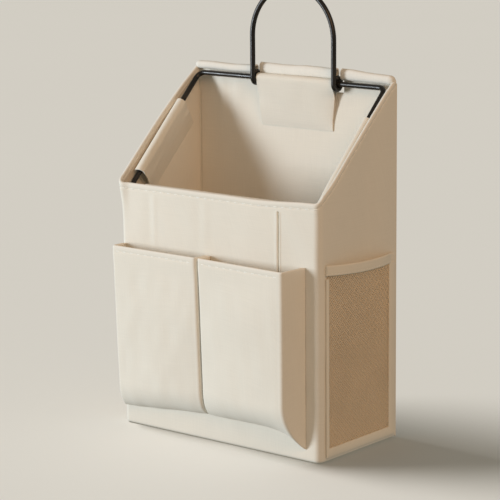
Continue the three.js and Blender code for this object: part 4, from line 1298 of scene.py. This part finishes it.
@dataclass
class FrontPockets:
    """The two gusseted pockets on the front: swollen shells with scooped feet and folded mouths."""

    mouth: float = POCKET_MOUTH
    panel_y: float = -HALF_DEPTH
    gap: float = 0.3
    ply: float = 1.5
    hem: float = 2.7
    hem_height: float = 8.0
    edge_radius: float = 3.6
    stitch_drop: float = 5.2
    belly: float = 1.3
    scoop_rows: int = 26
    fall_rows: int = 33
    gusset_steps: int = 14
    corner_steps: int = 10
    stitch_pinch: float = 0.38
    drawn_left: float = 0.7
    drawn_right: float = 0.9
    ends: dict[str, Pocket] = field(default_factory=lambda: {
        "left": Pocket(x=-115.0, depth=18.0, foot_depth=13.0, foot=18.0, scoop=26.0),
        "seam_left": Pocket(x=-10.7, depth=18.0, foot_depth=13.0, foot=26.0, scoop=26.0),
        "seam_right": Pocket(x=-8.7, depth=18.0, foot_depth=13.0, foot=26.0, scoop=26.0),
        "right": Pocket(x=104.0, depth=23.0, foot_depth=23.0, foot=11.5, scoop=48.0, lean=9.0, dip=9.0, rise=2.6),
    })

    def rows(self) -> tuple[Array, Array, Array]:
        """Rows from foot to mouth: share of the straight fall, turn of the scoop, and distance below the mouth."""
        turn = np.radians(np.linspace(88, 0, self.scoop_rows))
        fall = np.concatenate([np.ones(self.scoop_rows), np.linspace(1, 0.13, self.fall_rows + 1)[1:]])
        drops = np.array([9.4, 8.6, 8.0, 7.4, 6.6, 6.0, 5.6, 5.2, 4.8, 4.3, 3.7, 3.0, 2.2, 1.4])
        below = np.concatenate([np.full(len(fall), np.nan), drops])
        turn = np.concatenate([turn, np.zeros(self.fall_rows + len(drops))])
        fall = np.concatenate([fall, np.zeros(len(drops))])
        return fall, turn, below

    def shell(self, left: Pocket, right: Pocket, seed: int) -> tuple[Array, Array]:
        """Outer face of a pocket: level rings from the left gusset round the front to the right one.

        A gusset's corner stands depth * cos(turn) out from the wall, at the height foot + scoop - scoop * sin(turn),
        and the two front corners are rounded by a quadratic curve.

        Args:
            left: The left end.
            right: The right end.
            seed: Seed of the unevenness.

        Returns:
            The points (rows, columns, 3) and their distances below the mouth.
        """
        fall, turn, below = self.rows()

        def corner(end: Pocket) -> tuple[Array, Array]:
            """Depth and height of one end's front corner in every row."""
            depth = (end.depth + (end.foot_depth - end.depth) * fall) * np.cos(turn)
            height = self.mouth + (end.foot + end.scoop - self.mouth) * fall - end.scoop * np.sin(turn)
            return depth, np.where(np.isnan(below), height, self.mouth - below)

        depth_l, height_l = corner(left)
        depth_r, height_r = corner(right)
        zero = np.zeros_like(fall)
        start = np.stack([zero + left.x, zero - self.gap, zero], -1)
        end = np.stack([zero + right.x, zero - self.gap, zero], -1)
        first = np.stack([left.x + left.lean * depth_l / left.depth, -self.gap - depth_l, zero], -1)
        second = np.stack([right.x - right.lean * depth_r / right.depth, -self.gap - depth_r, zero], -1)

        def bend(before: Array, at: Array, after: Array) -> Array:
            """The rounded corner: (1-t)^2 a + 2t(1-t) b + t^2 c, from a little before to a little after it."""
            room = np.minimum(np.linalg.norm(before - at, axis=-1), np.linalg.norm(after - at, axis=-1))
            radius = np.minimum(self.edge_radius, 0.45 * room)[:, None]
            a, c = at + unit(before - at) * radius, at + unit(after - at) * radius
            t = np.linspace(0, 1, self.corner_steps)[None, :, None]
            return (1 - t) ** 2 * a[:, None] + 2 * t * (1 - t) * at[:, None] + t**2 * c[:, None]

        bend_l, bend_r = bend(start, first, second), bend(first, second, end)
        grid = np.concatenate([
            run(start, bend_l[:, 0], self.gusset_steps), bend_l, run(bend_l[:, -1], bend_r[:, 0], 62)[:, 1:],
            bend_r, run(bend_r[:, -1], end, self.gusset_steps, last=True)[:, 1:],
        ], axis=1)
        share = (grid[..., 0] - left.x) / (right.x - left.x)
        late = np.clip(share, 0, 1) ** (1 + (right.dip - 1) * fall[:, None])
        grid[..., 2] = height_l[:, None] + (height_r - height_l)[:, None] * late
        towards_wall = 1 - np.clip((-self.gap - grid[..., 1]) / right.depth, 0, 1)
        grid[..., 2] += right.rise * towards_wall * (share > 0.8) * ease(self.mouth - height_r, 40, 0)[:, None]
        columns, margin = grid.shape[1], self.gusset_steps + self.corner_steps - 1
        column = np.arange(columns)
        across = np.clip((column - margin) / (columns - 2 * margin - 1), 0, 1)
        drop = self.mouth - grid[..., 2]
        full = ease(drop, 4, 60) * ease(turn, math.radians(80), math.radians(10))[:, None]
        swell = self.belly * np.sin(math.pi * across)[None] ** 0.7 * full
        slow = 0.38 * ripple(grid[..., 0], grid[..., 2] * 0.6, seed, 60.0) * ease(drop, 6, 30)
        slow = slow + 0.15 * ripple(grid[..., 0], grid[..., 2] * 0.5, seed + 9, 24.0) * ease(drop, 8, 30)
        pinch = -self.stitch_pinch * bell(drop, self.stitch_drop, 0.9)
        is_front = np.clip(np.minimum(across, 1 - across) * 12, 0, 1)[None]
        slow_edge = 0.4 + 0.6 * is_front
        grid[..., 1] += self.panel_y
        outward = self.outward(grid)
        left_way, right_way = (np.clip(k / self.gusset_steps, 0, 1)[None] for k in (column, columns - 1 - column))
        drawn_in = -self.drawn_left * np.sin(math.pi * left_way) * full
        drawn_in = drawn_in - self.drawn_right * np.sin(math.pi * right_way) * full
        fixed = ease(np.abs(grid[..., 1] - self.panel_y), 0.3, 3.0)
        grid = grid + outward * ((swell + slow * slow_edge + drawn_in) * fixed + pinch * is_front)[..., None]
        return grid, drop

    def outward(self, grid: Array) -> Array:
        """Unit normals of a pocket's face, turned to point away from the box."""
        normal = grid_normals(grid)
        middle = normal[normal.shape[0] // 2, normal.shape[1] // 2]
        return normal if middle[1] < 0 else -normal

    def build(self, finishes: Finishes) -> None:
        """Adds each pocket with its folded mouth and its row of stitches."""
        pairs = (("left", "left", "seam_left", 61), ("right", "seam_right", "right", 62))
        for name, first, second, seed in pairs:
            outer, drop = self.shell(self.ends[first], self.ends[second], seed)
            outward = self.outward(outer)
            ply = self.ply + (self.hem - self.ply) * ease(drop, self.hem_height + 0.6, self.hem_height)
            near_wall = ease(np.abs(outer[..., 1] - self.panel_y), 0.3, 4.0)
            grid = folded_over(outer, outward, ply * (0.5 + 0.5 * near_wall))
            grid[..., 1] = np.minimum(grid[..., 1], self.panel_y - 0.1)
            # Paler band painted at the pocket's folded mouth: scuffing plus a painted highlight on the lit edge.
            scuff_and_highlight = np.exp(-np.concatenate([drop, 0 * drop[:FOLD_STEPS], 6 + drop[::-1]]) / 1.8)
            nodes = [f"{name}_front_pocket", f"{name}_front_pocket_hem"]
            skin = Skin.from_grid(grid, round_rows=True, scuff_and_highlight=scuff_and_highlight, capped=True)
            put(f"{name}_pocket", skin, finishes.canvas, nodes)
            row = int(np.argmin(np.abs(drop[:, drop.shape[1] // 2] - self.stitch_drop)))
            columns = slice(16, outer.shape[1] - 16)
            thread = Stitching(length=5.0, gap=3.8).row(outer[row, columns], outward[row, columns])
            put(f"{name}_pocket_stitches", thread, finishes.thread)


@dataclass
class NetPocket:
    """A flat pocket of diamond netting on one side of the box, bound on all four edges."""

    wall_x: float = HALF_WIDTH
    front: float = -49.6
    rear: float = 47.0
    foot: float = 10.0
    mouth: float = POCKET_MOUTH
    bow: float = 7.0
    sag: float = 1.9
    lift: float = 4.4
    pitch: float = 2.1
    strand: float = 0.36
    tape: float = 9.5
    lap: float = 2.5
    outer_front: float = -50.6
    outer_rear: float = 54.6
    outer_foot: float = 4.4
    tape_thick: float = 2.1
    tape_stand: float = 0.25
    net_stand: float = 0.75
    low_end: float = 1.5
    high_end: float = 2.2

    def share(self, y: Array) -> Array:
        """Place along the net, 0 in its middle and 1 or -1 at its edges."""
        return np.clip((y - (self.front + self.rear) / 2) / ((self.rear - self.front) / 2), -1, 1)

    def stand(self, y: Array, z: Array) -> Array:
        """How far the net stands out: bow * (1 - share^2) across its width, growing in a line from its foot up."""
        up = np.maximum(0, (z - self.foot) / (self.mouth - self.foot))
        return self.bow * (1 - self.share(y) ** 2) * up

    def hang(self, y: Array) -> Array:
        """How far the mouth is below its rear end: sag * (1 - share^2), less the front's lift * (1 - way^2.5)."""
        way = np.clip((y - self.outer_front) / (self.outer_rear - self.outer_front), 0, 1)
        return self.sag * (1 - self.share(y) ** 2) - self.lift * (1 - way**2.5)

    def family(self, way: int) -> Skin:
        """All strands of one slant: straight lines at 45 degrees that pass over and under the other family.

        A strand's centre is (y, z) = corner + t * (1, way) / root 2. It stands strand * cos(pi * crossing) above
        or below the net's own surface, where the crossings are a pitch apart, and its ends stay in the field.

        Args:
            way: 1 for strands that rise to the rear and -1 for strands that fall.

        Returns:
            The strands, each a four-sided tube with closed ends.
        """
        low, high = self.foot - self.low_end, self.mouth - self.high_end
        width, height = self.rear - self.front, high - low
        step = self.pitch * math.sqrt(2)
        offsets = np.arange(-height, width, step) + step / 2
        count = int((width + height) / self.pitch) + 2
        t = np.arange(count) * self.pitch / math.sqrt(2)
        y = self.front + offsets[:, None] + t[None]
        y_end = np.clip(y, self.front + 0.4, self.rear - 0.4)
        t_end = np.clip(y_end - self.front - offsets[:, None], 0, height)
        y_end = self.front + offsets[:, None] + t_end
        inside = (y_end >= self.front) & (y_end <= self.rear)
        z_end = (low if way > 0 else high) + way * t_end
        k, n = np.arange(count)[None], np.arange(len(offsets))[:, None]
        over = 0.75 * self.strand * np.cos(math.pi * (k + n)) * way
        x = self.wall_x + self.net_stand + self.stand(y_end, z_end) + over
        line = np.stack([x, y_end, z_end], -1)
        fine = 1 + 0.12 * ripple(y_end, z_end, 71 + way, 5.0)
        across = np.array([0, -way, 1.0]) / math.sqrt(2)
        section = ring(self.strand, 4)
        grid = line[:, :, None] + fine[..., None, None] * (
            section[:, 0, None] * X + section[:, 1, None] * across
        )
        points = np.arange(grid[..., 0].size).reshape(grid.shape[:3])
        live = (t_end[:, 1:] - t_end[:, :-1] > 1e-6) & inside[:, 1:] & inside[:, :-1]
        corner = np.arange(4)
        after = (corner + 1) % 4
        a, b = points[:, :-1], points[:, 1:]
        faces = np.stack([a[..., corner], a[..., after], b[..., after], b[..., corner]], -1)[live].reshape(-1, 4)
        first, last = live.argmax(1), count - 1 - live[:, ::-1].argmax(1)
        kept = live.any(1)
        rows = np.arange(len(offsets))[kept]
        caps = np.concatenate([points[rows, first[kept]], points[rows, last[kept]]])
        along = np.broadcast_to((t_end * math.sqrt(2))[..., None], grid.shape[:3]).reshape(-1)
        around = np.broadcast_to(corner * self.strand, grid.shape[:3]).reshape(-1)
        faces = np.concatenate([faces, caps])
        cloth = np.stack([along[faces], around[faces]], -1)
        used, order = np.unique(faces, return_inverse=True)
        return Skin(grid.reshape(-1, 3)[used], order.reshape(-1, 4), cloth)

    def netting(self) -> Skin:
        """Both families of strands."""
        return Skin.joined([self.family(1), self.family(-1)])

    def mouth_tape(self) -> Skin:
        """The folded tape over the net's mouth: a strip on edge that follows the bow and the sag."""
        y = np.linspace(self.outer_front, self.outer_rear - 3.0, 66)
        section = rounded_strip(self.tape_thick, self.tape, 1.0, steps=4, flats=8)
        z = self.mouth - self.hang(y)[:, None] - self.tape + section[None, :, 1]
        pinch = 0.18 * bell(section[None, :, 1], 2.0, 0.8) * np.sign(section[None, :, 0] - self.tape_thick / 2)
        swell = 0.15 * ripple(y[:, None], z, 75, 18.0) * (section[None, :, 0] > 1)
        x = self.wall_x + self.tape_stand + section[None, :, 0] - pinch + swell + self.stand(y[:, None], z)
        grid = np.stack([x, np.broadcast_to(y[:, None], z.shape), z], -1)
        return self.with_ends(grid)

    def with_ends(self, grid: Array) -> Skin:
        """A closed section carried along, with both ends drawn together to a point."""
        first, last = (grid[[k]].mean(axis=1, keepdims=True).repeat(grid.shape[1], axis=1) for k in (0, -1))
        return Skin.from_grid(np.concatenate([first, grid, last]), round_columns=True)

    def edge_tape(self) -> Skin:
        """The tape round the other three edges: a rounded strip between an inner and an outer line."""
        top = self.mouth - self.tape + 1.5
        inner = [(self.front + self.lap, top), (self.front + self.lap, self.foot + self.lap),
                 (self.rear - self.lap, self.foot + self.lap), (self.rear - self.lap, top)]
        outer = [(self.outer_front, top), (self.outer_front, self.outer_foot),
                 (self.outer_rear, self.outer_foot), (self.outer_rear, top)]

        def line(points: list[tuple[float, float]]) -> Array:
            """The line through four corners, with the same places along each of its parts."""
            p = np.array(points)
            share = 0.5 - 0.5 * np.cos(np.linspace(0, math.pi, 40))[:, None]
            parts = [p[k] * (1 - share) + p[k + 1] * share for k in range(3)]
            return np.concatenate([parts[0], parts[1][1:], parts[2][1:]])

        a, b = line(inner), line(outer)
        section = rounded_strip(1.0, 2.0, 0.9, steps=4, flats=6)
        width = np.linalg.norm(b - a, axis=-1)[:, None]
        rounding = np.minimum(0.9 / width, 0.45)
        across = section[None, :, 0]
        eased = across * (1 - 2 * rounding) + rounding
        is_side = np.abs(across - 0.5) > 0.499 - 1e-6
        place = np.where(is_side, across, eased)
        yz = a[:, None] * (1 - place[..., None]) + b[:, None] * place[..., None]
        height = 0.2 + section[None, :, 1] * 1.1
        crown = 0.12 * ripple(yz[..., 0], yz[..., 1], 77, 20.0) * (section[None, :, 1] > 1.0)
        x = self.wall_x + height + crown
        return self.with_ends(np.concatenate([x[..., None], yz], -1))

    def build(self, finishes: Finishes) -> None:
        """Adds the netting and the two tapes on each side, and the stitches along the tapes."""
        net, mouth, edge = self.netting(), self.mouth_tape(), self.edge_tape()
        y = np.linspace(self.outer_front + 1.5, self.outer_rear - 4.5, 60)
        z = self.mouth - self.hang(y) - self.tape + 1.9
        line = np.column_stack([self.wall_x + 2.3 + self.stand(y, z), y, z])
        thread = Stitching(length=2.6, gap=1.6, width=0.55, rise=0.22).row(line, np.tile(X, (60, 1)))
        for side, turned in (("right", lambda s: s), ("left", lambda s: s.mirrored())):
            put(f"{side}_netting", turned(net), finishes.net, [f"{side}_net"], sharp=80)
            put(f"{side}_net_mouth", turned(mouth), finishes.tape, [f"{side}_net_mouth_binding"])
            put(f"{side}_net_edge", turned(edge), finishes.tape, [f"{side}_net_edge_binding"])
            put(f"{side}_net_stitches", turned(thread), finishes.thread)


# ---------------------------------------------------------------------------------------------------------------
# Stage


@dataclass
class Studio:
    """The floor, the lights and the camera."""

    azimuth: float = 39.458
    elevation: float = 11.252
    roll: float = -0.519
    distance: float = 2071.279
    shift: tuple[float, float] = (6.156, 25.099)
    aim: tuple[float, float, float] = (0.0, 0.0, 200.0)
    focal: float = 158.4
    key_colour: Colour = (0.868, 0.937, 1.0)
    key_power: float = 63.5
    key_towards: tuple[float, float, float] = (-0.69, -0.72, 0.088)
    key_distance: float = 2.7
    key_size: tuple[float, float] = (0.65, 1.0)
    side_colour: Colour = (1.0, 0.58, 0.305)
    side_power: float = 22.3
    side_towards: tuple[float, float, float] = (0.72, -0.42, 0.55)
    side_size: tuple[float, float] = (1.25, 1.25)
    lit_centre: tuple[float, float, float] = (0.0, 0.0, 0.22)
    fill_colour: Colour = (1.0, 0.962, 0.826)
    fill_strength: float = 0.272
    floor_colour: Colour = (0.8, 0.78, 0.75)
    floor_sun: float = 2.3
    floor_sun_colour: Colour = (1.0, 0.98, 0.94)
    floor_sun_towards: tuple[float, float, float] = (-1.1, -0.35, 1.3)
    floor_sun_angle: float = 30.0
    sky_colour: Colour = (0.75, 0.735, 0.7)

    def camera(self) -> None:
        """Places the camera on its azimuth and elevation round the aim, rolled and moved sideways a little."""
        a, e, r = (math.radians(x) for x in (self.azimuth, self.elevation, self.roll))
        back = Vector((math.sin(a) * math.cos(e), -math.cos(a) * math.cos(e), math.sin(e)))
        level = Vector((math.cos(a), math.sin(a), 0.0))
        high = back.cross(level)
        right = level * math.cos(r) + high * math.sin(r)
        up = high * math.cos(r) - level * math.sin(r)
        eye = Vector(self.aim) + back * self.distance - right * self.shift[0] - up * self.shift[1]
        data = bpy.data.cameras.new("camera")
        data.sensor_width, data.lens = 36.0, self.focal
        data.clip_start, data.clip_end = 0.05, 100.0
        camera = bpy.data.objects.new("camera", data)
        camera.matrix_world = Matrix.Translation(eye * MM) @ Matrix((right, up, back)).transposed().to_4x4()
        bpy.context.scene.collection.objects.link(camera)
        bpy.context.scene.camera = camera

    def floor(self) -> bpy.types.Object:
        """A wide plane just under the base, with a faintly uneven pale finish."""
        mesh = bpy.data.meshes.new("floor")
        mesh.from_pydata([(-30, -30, -0.0004), (30, -30, -0.0004), (30, 30, -0.0004), (-30, 30, -0.0004)], [],
                         [(0, 1, 2, 3)])
        recipe = Recipe("pale_floor")
        cloudy = recipe.noise(recipe.place(), 1.6, 2.0)
        recipe.surface(
            Base_Color=recipe.mixed(tinted(self.floor_colour, 0.985), tinted(self.floor_colour, 1.0), cloudy),
            Roughness=0.9, Specular_IOR_Level=0.1,
        )
        mesh.materials.append(recipe.material)
        floor = bpy.data.objects.new("floor", mesh)
        bpy.context.scene.collection.objects.link(floor)
        floor.visible_diffuse = False
        floor.visible_glossy = False
        floor.visible_shadow = False
        return floor

    def lamp(self, name: str, kind: str, power: float, colour: Colour, towards: Vector) -> bpy.types.Object:
        """A lamp that shines from a direction onto the lit centre."""
        data = bpy.data.lights.new(name, kind)
        data.energy, data.color = power, colour
        lamp = bpy.data.objects.new(name, data)
        lamp.location = Vector(self.lit_centre) + towards
        lamp.rotation_mode = "QUATERNION"
        lamp.rotation_quaternion = (-towards).to_track_quat("-Z", "Y")
        bpy.context.scene.collection.objects.link(lamp)
        return lamp

    def lights(self, floor: bpy.types.Object) -> None:
        """A cool key from the left, a warm lamp from the right, a fill all round, and a sun for the floor alone."""
        key = self.lamp("key", "AREA", self.key_power, self.key_colour,
                        Vector(self.key_towards) * self.key_distance)
        side = self.lamp("side", "AREA", self.side_power, self.side_colour,
                         Vector(self.side_towards) * self.key_distance)
        for lamp, size in ((key, self.key_size), (side, self.side_size)):
            lamp.data.shape = "RECTANGLE"
            lamp.data.size, lamp.data.size_y = size
        sun = self.lamp("floor_sun", "SUN", self.floor_sun, self.floor_sun_colour, Vector(self.floor_sun_towards))
        sun.data.angle = math.radians(self.floor_sun_angle)
        only_floor, not_floor = (bpy.data.collections.new(name) for name in ("floor_only", "all_but_floor"))
        only_floor.objects.link(floor)
        not_floor.objects.link(floor)
        not_floor.collection_objects[0].light_linking.link_state = "EXCLUDE"
        sun.light_linking.receiver_collection = only_floor
        for lamp in (key, side):
            lamp.light_linking.receiver_collection = not_floor
        world = bpy.data.worlds.new("studio")
        world.use_nodes = True
        nodes, links = world.node_tree.nodes, world.node_tree.links
        nodes.clear()
        fill, sky = nodes.new("ShaderNodeBackground"), nodes.new("ShaderNodeBackground")
        fill.inputs["Color"].default_value = (*self.fill_colour, 1.0)
        fill.inputs["Strength"].default_value = self.fill_strength
        sky.inputs["Color"].default_value = (*self.sky_colour, 1.0)
        path, mix, out = (nodes.new(k) for k in ("ShaderNodeLightPath", "ShaderNodeMixShader", "ShaderNodeOutputWorld"))
        links.new(path.outputs["Is Camera Ray"], mix.inputs[0])
        links.new(fill.outputs[0], mix.inputs[1])
        links.new(sky.outputs[0], mix.inputs[2])
        links.new(mix.outputs[0], out.inputs["Surface"])
        bpy.context.scene.world = world

    def build(self) -> None:
        """Adds the stage and sets how colours are shown."""
        self.camera()
        self.lights(self.floor())
        view = bpy.context.scene.view_settings
        view.view_transform, view.look, view.exposure, view.gamma = "Standard", "None", 0.0, 1.0


def main() -> None:
    """Builds the finishes and the stage, then the caddy's sub-assemblies in order."""
    logging.basicConfig(level=logging.INFO, format="%(name)s %(message)s")
    finishes = Finishes()
    Studio().build()
    CanvasBox().build(finishes)
    BackRolls().build(finishes)
    wires = Wirework()
    wires.build(finishes)
    WireSleeves().build(finishes, wires)
    FrontPockets().build(finishes)
    NetPocket().build(finishes)


if __name__ == "__main__":
    main()
